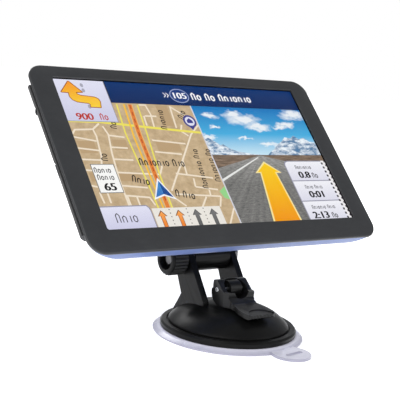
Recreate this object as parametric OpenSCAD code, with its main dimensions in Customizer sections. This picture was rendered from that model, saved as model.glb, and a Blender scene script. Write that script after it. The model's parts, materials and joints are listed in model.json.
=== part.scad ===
// Portable GPS navigator with a 7 inch screen, a clip-on bracket, a ball joint,
// a tilting arm and a lever-locked suction stand.
// Millimetres, +Z up. X runs along the screen's width, and Y runs away from the user.
// The origin is the centre of the suction pad's underside.
// The display unit is drawn in its own frame: X across, Y into the unit (depth), Z up the screen,
// with its origin at the centre of the front face. at_unit() carries that frame onto the stand.

/* [Display unit] */
// Width of the unit across the front
body_w = 178; // [176:0.5:181]
// Height of the unit across the front
body_h = 106; // [105:0.5:108]
// Radius of the front corners
corner_r = 8.5; // [6:0.5:11]
// Depth of the unit from front glass to flat back
body_depth = 13; // [13:0.1:15]
// Thickness of the front bezel's lip
lip_depth = 1.6; // [1.5:0.05:1.8]
// Wall of the rear shell
shell_wall = 1.6; // [1.4:0.05:1.8]
// How far the rear shell draws in at each end, front to back
end_taper = 18.5; // [14:0.5:20]
// How far the rear shell draws in at the top and bottom, front to back
edge_taper = 12.8; // [9:0.2:14]

/* [Screen] */
// Width of the visible picture
view_w = 154; // [150:0.5:155]
// Height of the visible picture
view_h = 86; // [84:0.5:87]
// Height of the picture's centre above the unit's centre
view_up = 2; // [0:0.25:2.5]
// Depth of the glass below the bezel's face
glass_step = 0.8; // [0.5:0.05:0.9]
// Thickness of the touch glass
glass_t = 1.0; // [0.8:0.05:1.0]
// Depth of the front of the liquid crystal panel
lcd_front = 2.0; // [2:0.01:2.1]
// Thickness of the liquid crystal panel
lcd_t = 2.2; // [1.8:0.05:2.2]

/* [Pose] */
// Lean of the screen back from upright, in degrees
lean = 44; // [34:1:60]
// Distance from the tilt hinge up to the ball
arm_len = 38.5; // [38.5:0.5:44]
// Distance from the unit's front face back to the tilt hinge
hinge_back = 36; // [36:0.25:37]
// Distance of the tilt hinge behind the stand's centre
hinge_y = 23.5; // [22:0.5:25]
// Height of the tilt hinge
hinge_z = 33.5; // [33:0.5:36]

/* [Ball joint] */
// Radius of the ball
ball_r = 7.5; // [7.3:0.05:7.5]
// Depth of the ball's centre behind the unit's front face
ball_depth = 27; // [27:0.25:27.5]
// Radius of the clamping collar
collar_r = 14; // [13.6:0.1:15]

/* [Stand] */
// Radius of the hinge barrel on the arm
barrel_r = 7; // [6:0.1:7]
// Radius of the clamp knob
knob_r = 8.4; // [7.4:0.1:9]
// Radius of the dome where it meets the rim
dome_r = 30; // [29:0.25:31]
// Radius of the rim disc
rim_r = 34; // [33:0.5:35]
// Height of the boss that the cam presses on
boss_top = 15; // [15:0.05:15.2]

/* [Suction pad] */
// Radius of the pad
pad_r = 37.5; // [36:0.5:39]
// Thickness of the pad
pad_t = 2.2; // [2:0.05:2.2]
// Radius of the pull tab
tab_r = 9.6; // [8:0.2:10]

/* [Lever] */
// Height of the lever's pin
pin_z = 22.6; // [22.6:0.05:22.8]
// Half the width of the lever at its cheeks
cheek_x = 9; // [8.5:0.1:9.5]
// Reach of the lever from its pin to its tip
lever_reach = 25.4; // [24:0.2:26]

/* [Hidden] */
$fn = 48;
eps = 0.01;

// Rear shell: straight at the lip, then drawn in along two power curves
shell_front = lip_depth + 0.05;
shell_steps = 8;
function shell_t(d) = max(0, (d - shell_front) / (body_depth - shell_front));
function half_w(d) = body_w / 2 - 0.5 - end_taper * pow(shell_t(d), 1.75);
function half_h(d) = body_h / 2 - 0.2 - edge_taper * pow(shell_t(d), 4.6);
function round_r(d) = corner_r + 6 * shell_t(d);
rear_wall_in = body_depth - 1.8;

// Stack behind the screen, as depths
lcd_back = lcd_front + lcd_t;
frame_back = lcd_back + 1.2;
board_front = 7.2;
board_back = 8.4;
lcd_left = -79;
lcd_right = 82.5;
lcd_half_h = 48.4;
skirt_back = 4.4;

// Side cover and its ports
cover_inner = 82.9;
cover_back = 6.8;
cover_proud = 2.2;
cover_max = body_w / 2 + 1;
cover_low = -42.5;
cover_high = 41.2;
port_depth = 4.2;
jack_up = 27.6;
jack_hole_r = 1.75;
jack_nose_r = 2.05;
card_up = 15.75;
card_l = 11.5;
usb_up = -6.2;
usb_l = 7.6;
usb_t = 3.0;
mic_up = -36.9;
mic_r = 0.5;
socket_end = lcd_left - 0.2;
socket_start = -cover_inner + 0.5;

// Fasteners and openings of the rear shell
screw_x = 58;
screw_up = 32;
screw_r = 0.9;
screw_head_r = 1.9;
boss_end = 10;
speaker_x = 40;
speaker_up = -27;
speaker_r = 12;
hook_x = 22;
hook_up = -20;

// Power button on the top edge
button_x = -30;
button_depth = 6.5;
button_w = 9;
button_t = 2.4;
flange_up = 49.1;

// Bracket behind the unit
plate_w = 62;
plate_h = 48;
plate_front = body_depth + 0.15;
plate_back = 16.2;
latch_depth = 15.4;
latch_up = 24;
latch_x = 9.2;
latch_pin_r = 1;

// Ball joint shells, from the ball outwards
liner_in = ball_r + 0.1;
liner_out = ball_r + 1.1;
cup_in = liner_out + 0.1;
cup_r = 11.2;
cup_mouth = 1;

// Tilt hinge, along X
barrel_x = 11;
cheek_in = 11.5;
cheek_out = 15;
bolt_r = 2.5;
washer_gap = 0.05;
head_r = 6.2;
knob_in = 15.3;
knob_out = 25;
nut_r = 4.4;

// Dome
dome_foot = 6;
dome_arc_r = 25.9;
dome_arc_x = 11;
dome_arc_z = dome_foot - sqrt(dome_arc_r * dome_arc_r - pow(dome_r - dome_arc_x, 2));
dome_wall = 2.4;
ceiling = 11.9;
boss_r = 10;
stem_r = 3.6;
stem_travel = 2.5;

// Cam: an eccentric circle whose height falls evenly as the lever rises
lever_swing = 65;
cam_gap = 0.1;
cam_turn = 60;
cam_shift = stem_travel / (cos(cam_turn) - cos(cam_turn + lever_swing));
cam_r = pin_z - boss_top - cam_gap - cam_shift * cos(cam_turn);
stem_head_r = 4.2;
tip_x = 8.8;
pin_r = 1.25;

// ---------- frames ----------

// Frame of the tilt hinge, leaning with the arm
module at_hinge() {
    translate([0, hinge_y, hinge_z]) rotate([-lean, 0, 0]) children();
}

// Frame of the display unit: origin at the centre of its front face
module at_unit() {
    at_hinge() translate([0, -hinge_back, arm_len]) children();
}

// Frame of the ball: +Z points back along the unit's depth
module at_ball() {
    at_unit() translate([0, ball_depth, 0]) rotate([-90, 0, 0]) children();
}

// ---------- shared shapes ----------

// Rectangle with round corners, centred
module round_rect(w, h, r) {
    square([w - 2 * r, h], center = true);
    square([w, h - 2 * r], center = true);
    for (sx = [-1, 1], sy = [-1, 1])
        translate([sx * (w / 2 - r), sy * (h / 2 - r)]) circle(r);
}

// Extrudes a flat shape drawn as (across, up) between two depths of the unit
module between(d0, d1) {
    translate([0, d1, 0]) rotate([90, 0, 0]) linear_extrude(d1 - d0) children();
}

// Rounded slab of the unit, between two depths
module slab(w, h, r, d0, d1, x = 0, up = 0) {
    translate([x, 0, up]) between(d0, d1) round_rect(w, h, r);
}

// Plain block of the unit, from one corner to the other
module block(x0, x1, d0, d1, up0, up1) {
    translate([x0, d0, up0]) cube([x1 - x0, d1 - d0, up1 - up0]);
}

// Round post of the unit, along its depth
module post(r, d0, d1, x, up) {
    translate([x, d0, up]) rotate([-90, 0, 0]) cylinder(r = r, h = d1 - d0);
}

// Cylinder along X
module across(r, x0, x1, fn = $fn) {
    translate([x0, 0, 0]) rotate([0, 90, 0]) cylinder(r = r, h = x1 - x0, $fn = fn);
}

// Extrudes a side view, drawn as (y, z), between two X positions
module side_view(x0, x1) {
    translate([x0, 0, 0]) rotate([90, 0, 90]) linear_extrude(x1 - x0) children();
}

// The four screw places on the back
module at_screws() {
    for (sx = [-1, 1], sz = [-1, 1]) translate([sx * screw_x, 0, sz * screw_up]) children();
}

// Shell-shaped solid, drawn in by a wall, from one depth to another
module shell_form(d0, d1, inset) {
    hull()
        for (i = [0 : shell_steps]) {
            d = d0 + (d1 - d0) * i / shell_steps;
            w = 2 * (half_w(d) - inset);
            h = 2 * (half_h(d) - inset);
            slab(w, h, round_r(d) - inset, d - eps * i / shell_steps, d + eps - eps * i / shell_steps);
        }
}

// A wire bent into a coil around Z, as one closed tube
module coil(r, wire_r, z0, z1, turns) {
    rings = turns * 14;
    sides = 8;
    points = [
        for (i = [0 : rings], j = [0 : sides - 1])
            let (
                turn = 360 * turns * i / rings,
                lift = z0 + wire_r + (z1 - z0 - 2 * wire_r) * i / rings,
                out = r + wire_r * cos(360 * j / sides)
            )
            [out * cos(turn), out * sin(turn), lift + wire_r * sin(360 * j / sides)]
    ];
    skin = [
        for (i = [0 : rings - 1], j = [0 : sides - 1])
            let (k = (j + 1) % sides, a = i * sides, b = a + sides)
            each [[a + j, b + j, b + k], [a + j, b + k, a + k]]
    ];
    first_end = [[for (j = [0 : sides - 1]) j]];
    last_end = [[for (j = [sides - 1 : -1 : 0]) rings * sides + j]];
    polyhedron(points, concat(skin, first_end, last_end));
}

// ---------- display unit: outside ----------

// Dark front frame: a flat lip with the picture window, and a skirt that goes inside the shell
module front_bezel() {
    skirt_w = 2 * (half_w(skirt_back) - shell_wall - 0.2);
    skirt_h = 2 * (half_h(skirt_back) - shell_wall - 0.2);
    color("#46474b") at_unit() difference() {
        union() {
            slab(body_w, body_h, corner_r, 0, lip_depth);
            slab(skirt_w, skirt_h, round_r(skirt_back) - shell_wall - 0.1, lip_depth - eps, skirt_back);
        }
        slab(skirt_w - 2.4, skirt_h - 2.2, 3.5, lip_depth, skirt_back + 1);
        slab(view_w, view_h, 1, -1, lip_depth + 1, 0, view_up);
        slab(view_w + 3.6, view_h + 3.6, 1, glass_step, lip_depth + 1, 0, view_up);
        block(-body_w, -cover_inner + 1.6, lip_depth, skirt_back + 1, cover_low - 1, cover_high + 1);
    }
}

// Foam tape between the bezel and the liquid crystal panel
module bezel_gasket() {
    color("#2a2a2c") at_unit() difference() {
        slab(view_w + 7.6, view_h + 7, 1.5, lip_depth, lcd_front, 0, view_up);
        slab(view_w + 4, view_h + 4, 1, 0, body_depth, 0, view_up);
    }
}

// Touch glass, seen through the bezel's window
module touch_panel() {
    color("#5b6f8c", 0.6) at_unit()
        slab(view_w + 3, view_h + 3, 0.8, glass_step, glass_step + glass_t, 0, view_up);
}

// Liquid crystal panel with its backlight
module lcd_panel() {
    color("#c9b58e") at_unit() block(lcd_left, lcd_right, lcd_front, lcd_back, -lcd_half_h, lcd_half_h);
}

// Outline of the strip that holds the ports, as (x, depth)
module cover_outline() {
    steps = 6;
    polygon(concat(
        [[-cover_inner, lip_depth + 0.05]],
        [
            for (i = [0 : steps])
                let (d = lip_depth + 0.05 + (cover_back - lip_depth - 0.1) * i / steps)
                [-min(cover_max, half_w(d) + cover_proud), d]
        ],
        [[-cover_inner, cover_back - 0.05]]
    ));
}

// Black strip on the left end, with the four port openings
module side_cover() {
    color("#1d1e20") at_unit() difference() {
        translate([0, 0, cover_low]) linear_extrude(cover_high - cover_low) cover_outline();
        translate([0, port_depth, jack_up]) across(jack_nose_r + 0.05, -body_w, 0);
        translate([0, port_depth, mic_up]) across(mic_r, -body_w, 0);
        block(-body_w, 0, port_depth - 0.75, port_depth + 0.75, card_up - card_l / 2 - 0.3,
            card_up + card_l / 2 + 0.3);
        block(-body_w, 0, port_depth - usb_t / 2 - 0.2, port_depth + usb_t / 2 + 0.2,
            usb_up - usb_l / 2 - 0.2, usb_up + usb_l / 2 + 0.2);
    }
}

// Flat shape of the power button, as (x, depth)
module button_outline(grow) {
    translate([button_x, button_depth]) round_rect(button_w + 2 * grow, button_t + 2 * grow,
        button_t / 2 + grow - eps);
}

// Blue-grey back shell, hollow, with its openings
module rear_shell() {
    color("#8fa3cf") at_unit() difference() {
        union() {
            difference() {
                shell_form(shell_front, body_depth, 0);
                shell_form(shell_front, rear_wall_in, shell_wall);
                block(-body_w, body_w, 0, shell_front + eps, -body_h, body_h);
            }
            at_screws() post(3.4, boss_end, rear_wall_in + 0.5, 0, 0);
        }
        at_screws() {
            post(screw_r + 0.2, 0, body_depth + 1, 0, 0);
            post(screw_head_r + 0.3, rear_wall_in, body_depth + 1, 0, 0);
        }
        // the left end makes room for the side cover
        block(-body_w, -cover_inner + 0.05, 0, cover_back, cover_low - 0.05, cover_high + 0.05);
        // power button
        linear_extrude(body_h) button_outline(0.15);
        // speaker slots
        for (i = [-3 : 3])
            slab(2 * sqrt(pow(speaker_r - 2, 2) - pow(2.6 * i, 2)), 1.2, 0.59, rear_wall_in - 1,
                body_depth + 1, speaker_x, speaker_up + 2.6 * i);
        // two hook slots and the latch slot
        for (sx = [-1, 1])
            block(sx * hook_x - 3.8, sx * hook_x + 3.8, rear_wall_in - 1, body_depth + 1,
                hook_up - 3, hook_up + 2.8);
        block(-6.8, 6.8, rear_wall_in - 1, body_depth + 1, latch_up + 3.1, latch_up + 6.3);
    }
}

// Four screws that hold the back shell to the inner frame
module rear_screws() {
    color("#b9bbbf") at_unit() at_screws() difference() {
        union() {
            post(screw_r, boss_end - 4, rear_wall_in + eps, 0, 0);
            post(screw_head_r, rear_wall_in, rear_wall_in + 1.2, 0, 0);
        }
        for (turn = [0, 90])
            translate([0, rear_wall_in + 1, 0]) rotate([0, turn, 0]) cube([2.4, 1.2, 0.5], center = true);
    }
}

// ---------- display unit: inside ----------

// Metal plate behind the panel, with screw bosses and board standoffs
module lcd_frame() {
    color("#a9adb3") at_unit() difference() {
        union() {
            slab(lcd_right - lcd_left, 2 * lcd_half_h, 3, lcd_back, frame_back, (lcd_left + lcd_right) / 2);
            at_screws() post(2.6, frame_back - eps, boss_end - 0.05, 0, 0);
            for (x = [-70, 10], up = [-30, 30]) post(2, frame_back - eps, board_front, x, up);
        }
        at_screws() post(screw_r + 0.02, boss_end - 4.2, boss_end + 1, 0, 0);
        for (x = [-30, 40]) slab(44, 22, 2, lcd_back - 1, frame_back + 1, x, 24);
        for (x = [-30, 40]) slab(44, 22, 2, lcd_back - 1, frame_back + 1, x, -24);
    }
}

// Green circuit board
module main_board() {
    color("#1f6b3f") at_unit() difference() {
        union() {
            block(lcd_left, 18, board_front, board_back, -38, 38);
            block(button_x - 6, button_x + 6, board_front, board_back, 37, 44);
        }
        for (up = [-screw_up, screw_up]) post(3.1, board_front - 1, board_back + 1, -screw_x, up);
    }
}

// Pressed metal can over the processor
module processor_shield() {
    color("#c5c8cc") at_unit() slab(26, 26, 1, board_back, board_back + 1.6, -42, -6);
}

// Memory, radio and power chips
module board_chips() {
    color("#26282b") at_unit() {
        for (up = [-10, 4]) block(-14, -2, board_back, board_back + 1, up, up + 10);
        for (i = [0 : 3]) block(4, 8, board_back, board_back + 0.8, -14 + 7 * i, -10 + 7 * i);
        block(-14, 2, board_back, board_back + 1.2, 20, 30);
        for (i = [0 : 4]) block(-74, -70, board_back, board_back + 1, -20 + 8 * i, -16 + 8 * i);
    }
}

// Ceramic satellite aerial on its pad
module gps_antenna() {
    color("#d9cdb4") at_unit() {
        slab(16, 16, 1.5, board_back, board_back + 2.2, -38, 24);
        slab(12, 12, 0.5, board_back + 2.2 - eps, board_back + 2.4, -38, 24);
    }
}

// Flat lithium cell
module battery() {
    color("#3f66a8") at_unit() slab(32, 48, 1.5, frame_back, frame_back + 5, 38, 14);
}

// Two-wire lead that ends in a board connector
module lead(x0, x1, up, depth) {
    block(x0 - 4, x0, board_back, board_back + 2, up - 3, up + 3);
    for (s = [-1, 1]) translate([0, depth, up + s]) across(0.5, x0 - eps, x1);
}

// Lead from the battery to the board
module battery_lead() {
    color("#a33028") at_unit() lead(13, 22, 20, board_back + 1);
}

// Round loudspeaker that faces the back slots
module speaker() {
    color("#303235") at_unit() {
        post(speaker_r, frame_back + 2.6, rear_wall_in - 0.05, speaker_x, speaker_up);
        post(7, frame_back, frame_back + 2.6 + eps, speaker_x, speaker_up);
    }
}

// Lead from the speaker to the board
module speaker_lead() {
    color("#c8a13a") at_unit() lead(13, speaker_x - speaker_r, speaker_up + 2, board_back + 1);
}

// Housing of a socket on the left end: a block on the side cover and a foot on the board
module socket_block(up, l, t) {
    block(socket_start, socket_end, port_depth - t / 2, port_depth + t / 2, up - l / 2, up + l / 2);
    block(-81, socket_end, port_depth, board_front, up - l / 2, up + l / 2);
    block(socket_end - eps, -75, frame_back + 0.1, board_front, up - l / 2, up + l / 2);
}

// Power and data socket
module usb_socket() {
    color("#b4b7bb") at_unit() difference() {
        union() {
            socket_block(usb_up, usb_l, 3.8);
            block(-body_w / 2 + 0.4, socket_start + 0.1, port_depth - usb_t / 2, port_depth + usb_t / 2,
                usb_up - usb_l / 2, usb_up + usb_l / 2);
        }
        block(-body_w, socket_end - 0.6, port_depth - usb_t / 2 + 0.3, port_depth + usb_t / 2 - 0.3,
            usb_up - usb_l / 2 + 0.3, usb_up + usb_l / 2 - 0.3);
    }
}

// Memory card socket
module card_socket() {
    color("#b4b7bb") at_unit() difference() {
        socket_block(card_up, card_l + 1, 2.4);
        block(-body_w, socket_end - 0.6, port_depth - 0.5, port_depth + 0.5, card_up - card_l / 2,
            card_up + card_l / 2);
    }
}

// 3.5 mm earphone jack: a round nose through the side cover, drilled to the back
module earphone_jack() {
    color("#222327") at_unit() difference() {
        union() {
            socket_block(jack_up, 6, 4.1);
            translate([0, port_depth, jack_up]) across(jack_nose_r, -body_w / 2 + 0.2, socket_start + 0.1);
        }
        translate([0, port_depth, jack_up]) across(jack_hole_r, -body_w, socket_end - 0.5);
    }
}

// Microphone capsule behind its pin hole
module microphone() {
    color("#8b8e93") at_unit() {
        translate([0, port_depth, mic_up]) across(1.9, socket_start, socket_end);
        block(-81, -75, frame_back + 0.1, board_front, mic_up - 1, mic_up + 1);
    }
}

// Ribbon from the panel's lower edge round to the board
module lcd_flex() {
    ribbon = 0.25;
    out = -lcd_half_h - 0.85;
    color("#c77d2c") at_unit() {
        block(-20, 10, lcd_front + 0.8, lcd_front + 0.8 + ribbon, out, -lcd_half_h);
        block(-20, 10, lcd_front + 0.8, board_front, out, out + ribbon);
        block(-20, 10, board_front - ribbon, board_front, out, -34);
    }
}

// Power button: a cap through the shell, a flange that keeps it in and a stem
module power_button() {
    color("#26272a") at_unit() {
        translate([0, 0, flange_up]) linear_extrude(half_h(button_depth) + 0.7 - flange_up) button_outline(0);
        translate([0, 0, flange_up]) linear_extrude(0.7) button_outline(0.7);
        block(button_x - 1.5, button_x + 1.5, board_front - 1.6, board_front + 0.2, 45.6, flange_up + eps);
    }
}

// Side-push switch on the board under the button
module power_switch() {
    color("#9a9ca0") at_unit() {
        block(button_x - 3, button_x + 3, frame_back + 0.1, board_front, 41.5, 44.5);
        translate([button_x, board_front - 0.9, 44.4]) cylinder(r = 0.7, h = 0.6);
    }
}

// ---------- bracket ----------

// Clip-on plate with two hooks, two ears for the latch and the ball stud
module bracket_plate() {
    color("#202124") at_unit() difference() {
        union() {
            slab(plate_w, plate_h, 6, plate_front, plate_back);
            for (sx = [-1, 1]) {
                block(sx * hook_x - 3.5, sx * hook_x + 3.5, 9.7, plate_front + 1, hook_up, hook_up + 2.5);
                block(sx * hook_x - 3.5, sx * hook_x + 3.5, 9.7, 11, hook_up - 2.5, hook_up + 2.5);
                translate([sx * (latch_x + 1.9), 0, 0]) side_view(-1.5, 1.5) {
                    translate([plate_front, 16]) square([4.3, latch_up - 16]);
                    translate([latch_depth, latch_up]) circle(2.2);
                }
            }
            post(ball_r - 0.5, plate_back - eps, plate_back + 0.9, 0, 0);
            post(4, plate_back, ball_depth, 0, 0);
            translate([0, ball_depth, 0]) sphere(ball_r);
        }
        // recess for the latch, and its pin holes
        block(-latch_x - 0.2, latch_x + 0.2, 0, body_depth * 2, latch_up - 3.4, latch_up + 9);
        translate([0, latch_depth, latch_up]) across(latch_pin_r, -plate_w, plate_w);
        // lightening slots across the back of the plate
        for (sx = [-1, 1], up = [-14, -7, 0, 7])
            slab(14, 3, 1.4, plate_back - 1.2, plate_back + 1, sx * 20, up);
    }
}

// Spring latch that locks the bracket to the unit
module bracket_latch() {
    color("#2a2b2f") at_unit() difference() {
        union() {
            block(-latch_x, latch_x, 14.4, 16.4, latch_up - 2.5, latch_up + 10);
            block(-6, 6, 12, 14.5, latch_up + 3.6, latch_up + 5);
            block(-latch_x, latch_x, 14.4, 19, latch_up + 8.6, latch_up + 10);
            translate([0, latch_depth, latch_up]) across(2, -latch_x, latch_x);
            for (i = [0 : 2])
                block(-7, 7, 16, 16.9, latch_up + 3 + 1.7 * i, latch_up + 3.8 + 1.7 * i);
        }
        translate([0, latch_depth, latch_up]) across(latch_pin_r + 0.05, -plate_w, plate_w);
        block(-2.6, 2.6, 13, 18, latch_up - 3, latch_up + 2.2);
    }
}

// Pin of the latch
module latch_pin() {
    color("#c8cacc") at_unit() translate([0, latch_depth, latch_up])
        across(latch_pin_r, -latch_x - 3.4, latch_x + 3.4);
}

// Torsion spring of the latch: the coiled part and its lower leg
module latch_spring() {
    color("#c8cacc") at_unit() {
        translate([0, latch_depth, latch_up]) difference() {
            across(1.6, -2.2, 2.2);
            across(latch_pin_r + 0.1, -3, 3);
        }
        block(-0.3, 0.3, latch_depth - 1.6, latch_depth - 1, latch_up - 3.3, latch_up);
    }
}

// ---------- ball joint ----------

// Part of a hollow sphere between two angles, measured from the back
module sphere_band(r_in, r_out, from, to) {
    far = 30;
    rotate_extrude() intersection() {
        difference() {
            circle(r_out);
            circle(r_in);
        }
        polygon(concat(
            [[0, 0]],
            [for (i = [0 : 4]) let (a = from + (to - from) * i / 4) far * [sin(a), cos(a)]]
        ));
    }
}

// Friction liner behind the ball
module ball_liner_rear() {
    color("#3a3b40") at_ball() sphere_band(liner_in, liner_out, 0, 70);
}

// Friction liner in front of the ball
module ball_liner_front() {
    color("#3a3b40") at_ball() sphere_band(liner_in, liner_out, 92, 125);
}

// Fluted clamping collar that screws on the arm's cup
module collar_ring() {
    flutes = 18;
    mouth_r = 7.2;
    color("#1b1c1f") at_ball() difference() {
        rotate_extrude() difference() {
            polygon([[mouth_r, -6.7], [9.5, -6.7], [collar_r, -3.2], [collar_r, 4], [mouth_r, 4]]);
            circle(liner_out + 0.2);
            translate([0, -cup_mouth - 0.3]) square([cup_r + 0.1, 10]);
        }
        for (i = [0 : flutes - 1])
            rotate([0, 0, 360 * i / flutes]) translate([collar_r + 0.5, 0, -8]) cylinder(r = 1, h = 20);
    }
}

// Tilting arm: hinge barrel, flat bar and the ball's cup
module support_arm() {
    bar_x = 7.5;
    bar_y = 3.5;
    cup_y = ball_depth - hinge_back;
    color("#17181a") at_hinge() difference() {
        union() {
            across(barrel_r, -barrel_x, barrel_x);
            translate([-bar_x, -bar_y, 0]) cube([2 * bar_x, 2 * bar_y, arm_len]);
            translate([0, cup_y - cup_mouth, arm_len]) rotate([-90, 0, 0])
                cylinder(r = cup_r, h = bar_y - cup_y + cup_mouth);
            // side ribs
            for (sx = [-1, 1]) translate([sx * (bar_x - 1), 0, 0]) side_view(-1, 1)
                polygon([[-bar_y, 6], [bar_y + 1.5, 6], [bar_y + 1.5, arm_len - 8], [-bar_y, arm_len - 8]]);
        }
        translate([0, cup_y, arm_len]) sphere(cup_in);
        translate([0, cup_y - 4, arm_len]) rotate([-90, 0, 0]) cylinder(r = cup_in, h = 4);
        across(bolt_r + 0.05, -2 * barrel_x, 2 * barrel_x);
    }
}

// ---------- tilt hinge ----------

// Bolt through the stand's cheeks and the arm's barrel
module tilt_bolt() {
    color("#c8cacc") translate([0, hinge_y, hinge_z]) {
        across(bolt_r, -23, cheek_out + 0.5);
        across(4.6, cheek_out, cheek_out + 3.5, 6);
    }
}

// Two friction washers, one at each end of the barrel
module friction_washers() {
    color("#d8d9db") translate([0, hinge_y, hinge_z])
        for (x = [-cheek_in + washer_gap, barrel_x + washer_gap]) difference() {
            across(head_r - 0.2, x, x + cheek_in - barrel_x - 2 * washer_gap);
            across(bolt_r + 0.1, x - 1, x + 1);
        }
}

// Fluted hand knob with a hexagon pocket for its nut
module clamp_knob() {
    flutes = 24;
    color("#141517") translate([0, hinge_y, hinge_z]) difference() {
        union() {
            across(knob_r, -knob_out + 0.8, -knob_in);
            across(knob_r - 0.8, -knob_out, -knob_in);
        }
        across(nut_r + 0.05, -knob_out - 1, -17.5, 6);
        across(bolt_r + 0.3, -knob_out - 1, 0);
        for (i = [0 : flutes - 1])
            rotate([360 * i / flutes, 0, 0]) translate([0, knob_r + 0.25, 0])
                across(0.6, -knob_out - 1, -16.5);
    }
}

// Hexagon nut in the knob
module knob_nut() {
    color("#c8cacc") translate([0, hinge_y, hinge_z]) difference() {
        across(nut_r, -21.8, -17.5, 6);
        across(bolt_r + 0.02, -knob_out, 0);
    }
}

// ---------- suction stand ----------

// Half section of the hollow dome, boss and rim
module dome_section() {
    difference() {
        union() {
            intersection() {
                translate([dome_arc_x, dome_arc_z]) circle(dome_arc_r);
                translate([0, pad_t]) square([dome_r, 30]);
            }
            translate([0, pad_t]) square([dome_arc_x + 1, 12]);
            polygon([
                [0, 12], [boss_r + 3, 12], [boss_r + 3, boss_top - 0.9], [boss_r, boss_top], [0, boss_top]
            ]);
            // rim disc: a flat ring, a bevel and a shallow groove against the dome
            polygon([
                [dome_r - 2, pad_t], [rim_r - 0.4, pad_t], [rim_r, pad_t + 0.5], [rim_r, pad_t + 2.2],
                [rim_r - 0.8, pad_t + 3.1], [dome_r + 1, pad_t + 3.1], [dome_r + 0.4, pad_t + 2.4],
                [dome_r - 2, pad_t + 2.4]
            ]);
        }
        // hollow under the dome, and the stem's bore
        intersection() {
            translate([dome_arc_x, dome_arc_z]) circle(dome_arc_r - dome_wall);
            translate([0, 0]) square([dome_r - 4, ceiling]);
        }
        square([dome_arc_x + 1, ceiling]);
        square([stem_r + 0.1, 40]);
    }
}

// One cheek of the stand, as (y, z): a round head on a waisted leg
module cheek_outline() {
    hull() {
        translate([hinge_y, hinge_z]) circle(head_r);
        polygon([[2.6, 15.9], [21.2, 15.9], [21.2, 16.4], [3, 16.4]]);
    }
    polygon([[2.6, 16], [21.2, 16], [23.4, 12.2], [27.2, 6.2], [22, 6], [2, 11]]);
}

// Stand: dome, rim and the two cheeks of the tilt hinge
module suction_base() {
    color("#17181a") difference() {
        union() {
            rotate_extrude($fn = 96) dome_section();
            difference() {
                for (x = [-cheek_out, cheek_in]) side_view(x, x + cheek_out - cheek_in) cheek_outline();
                // the cheeks stop at the dome's skin
                translate([0, 0, dome_arc_z]) rotate_extrude($fn = 96)
                    translate([dome_arc_x, 0]) intersection() {
                        circle(dome_arc_r - 1);
                        translate([-dome_arc_x, 0]) square(40);
                    }
                translate([0, 0, -1]) cylinder(r = dome_arc_x + 1, h = ceiling + 2);
            }
        }
        translate([0, hinge_y, hinge_z]) across(bolt_r + 0.05, -20, 20);
    }
}

// Stem that pulls the pad: a plate, a round shank and a head for the lever's pin
module pull_stem() {
    plate_z = pad_t + stem_travel + 0.1;
    color("#1f2023") difference() {
        union() {
            translate([0, 0, plate_z]) cylinder(r = 10.5, h = 1.4);
            translate([0, 0, plate_z]) cylinder(r = stem_r, h = pin_z - plate_z - 3);
            translate([-3.5, -3, boss_top + stem_travel + 0.2])
                cube([7, 6, pin_z - boss_top - stem_travel]);
            translate([0, 0, pin_z]) across(stem_head_r, -3.5, 3.5);
        }
        translate([0, 0, pin_z]) across(pin_r, -10, 10);
    }
}

// Pin of the lever
module lever_pin() {
    color("#d0d2d5") translate([0, 0, pin_z]) across(pin_r, -cheek_x - 0.2, cheek_x + 0.2);
}

// Side view of the lever, as (y, z): square knuckle, cam, steep front and a flat handle
module lever_outline() {
    tip = -lever_reach;
    intersection() {
        translate([-cam_shift * sin(cam_turn), pin_z - cam_shift * cos(cam_turn)]) circle(cam_r);
        translate([-20, 0]) square([40, pin_z]);
    }
    polygon([
        [3.4, 18.5], [3.4, 26.5], [2.8, 27.1], [0.6, 27.1], [-0.2, 26.6], [-10.8, 17.9], [-13, 17.4],
        [tip + 0.8, 16.4], [tip, 15.8], [tip, 14.7], [tip + 0.8, 14], [-15.5, 15],
        [-8, boss_top + cam_gap + 0.3], [-2, boss_top + cam_gap + 0.2]
    ]);
}

// Plan of the lever, as (x, y): straight cheeks, a narrow neck and a wide tip
module lever_plan() {
    neck_x = 7.5;
    tip = -lever_reach;
    polygon([
        [-cheek_x, 8], [cheek_x, 8], [cheek_x, -6], [neck_x, -9.5], [neck_x, -13.5], [tip_x, -17.5],
        [tip_x, tip + 2.4], [tip_x - 0.6, tip + 0.8], [tip_x - 2.2, tip], [2.2 - tip_x, tip],
        [0.6 - tip_x, tip + 0.8], [-tip_x, tip + 2.4], [-tip_x, -17.5], [-neck_x, -13.5],
        [-neck_x, -9.5], [-cheek_x, -6]
    ]);
}

// Locking lever: two cheeks on the pin, cams below, a scoop behind the neck, a thumb step at the
// tip, and grip notches at the neck's sides and along the tip
module cam_lever() {
    top_slope = atan(1 / 11.6);
    thumb_r = 7.6;
    thumb_depth = 0.4;
    groove_r = 0.5;
    tip_pitch = 2.1;
    grip_pitch = 1.6;
    color("#1b1c1f") difference() {
        intersection() {
            side_view(-cheek_x, cheek_x) lever_outline();
            linear_extrude(60) lever_plan();
        }
        // slot for the stem's head, open towards the back
        translate([0, 0, pin_z]) across(stem_head_r + 0.6, -3.8, 3.8);
        translate([-3.8, -4.8, 0]) cube([7.6, 20, pin_z]);
        translate([0, 0, pin_z]) across(pin_r + 0.05, -20, 20);
        // hollow between the two cheeks, and the step for the thumb
        translate([0, -3.4, 23.7]) sphere(6.6);
        translate([0, -26.4, 16.2]) rotate([top_slope, 0, 0])
            translate([0, 0, -thumb_depth]) cylinder(r = thumb_r, h = 4);
        // grip grooves on the tip and on both sides of the neck
        for (i = [-2.5 : 2.5])
            translate([tip_pitch * i, -lever_reach - 0.1, 0]) cylinder(r = groove_r, h = 40);
        for (sx = [-1, 1], i = [0 : 3])
            translate([sx * (7.6 + 0.12 * i * i), -9.8 - grip_pitch * i, 0])
                cylinder(r = groove_r, h = 40);
    }
}

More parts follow.
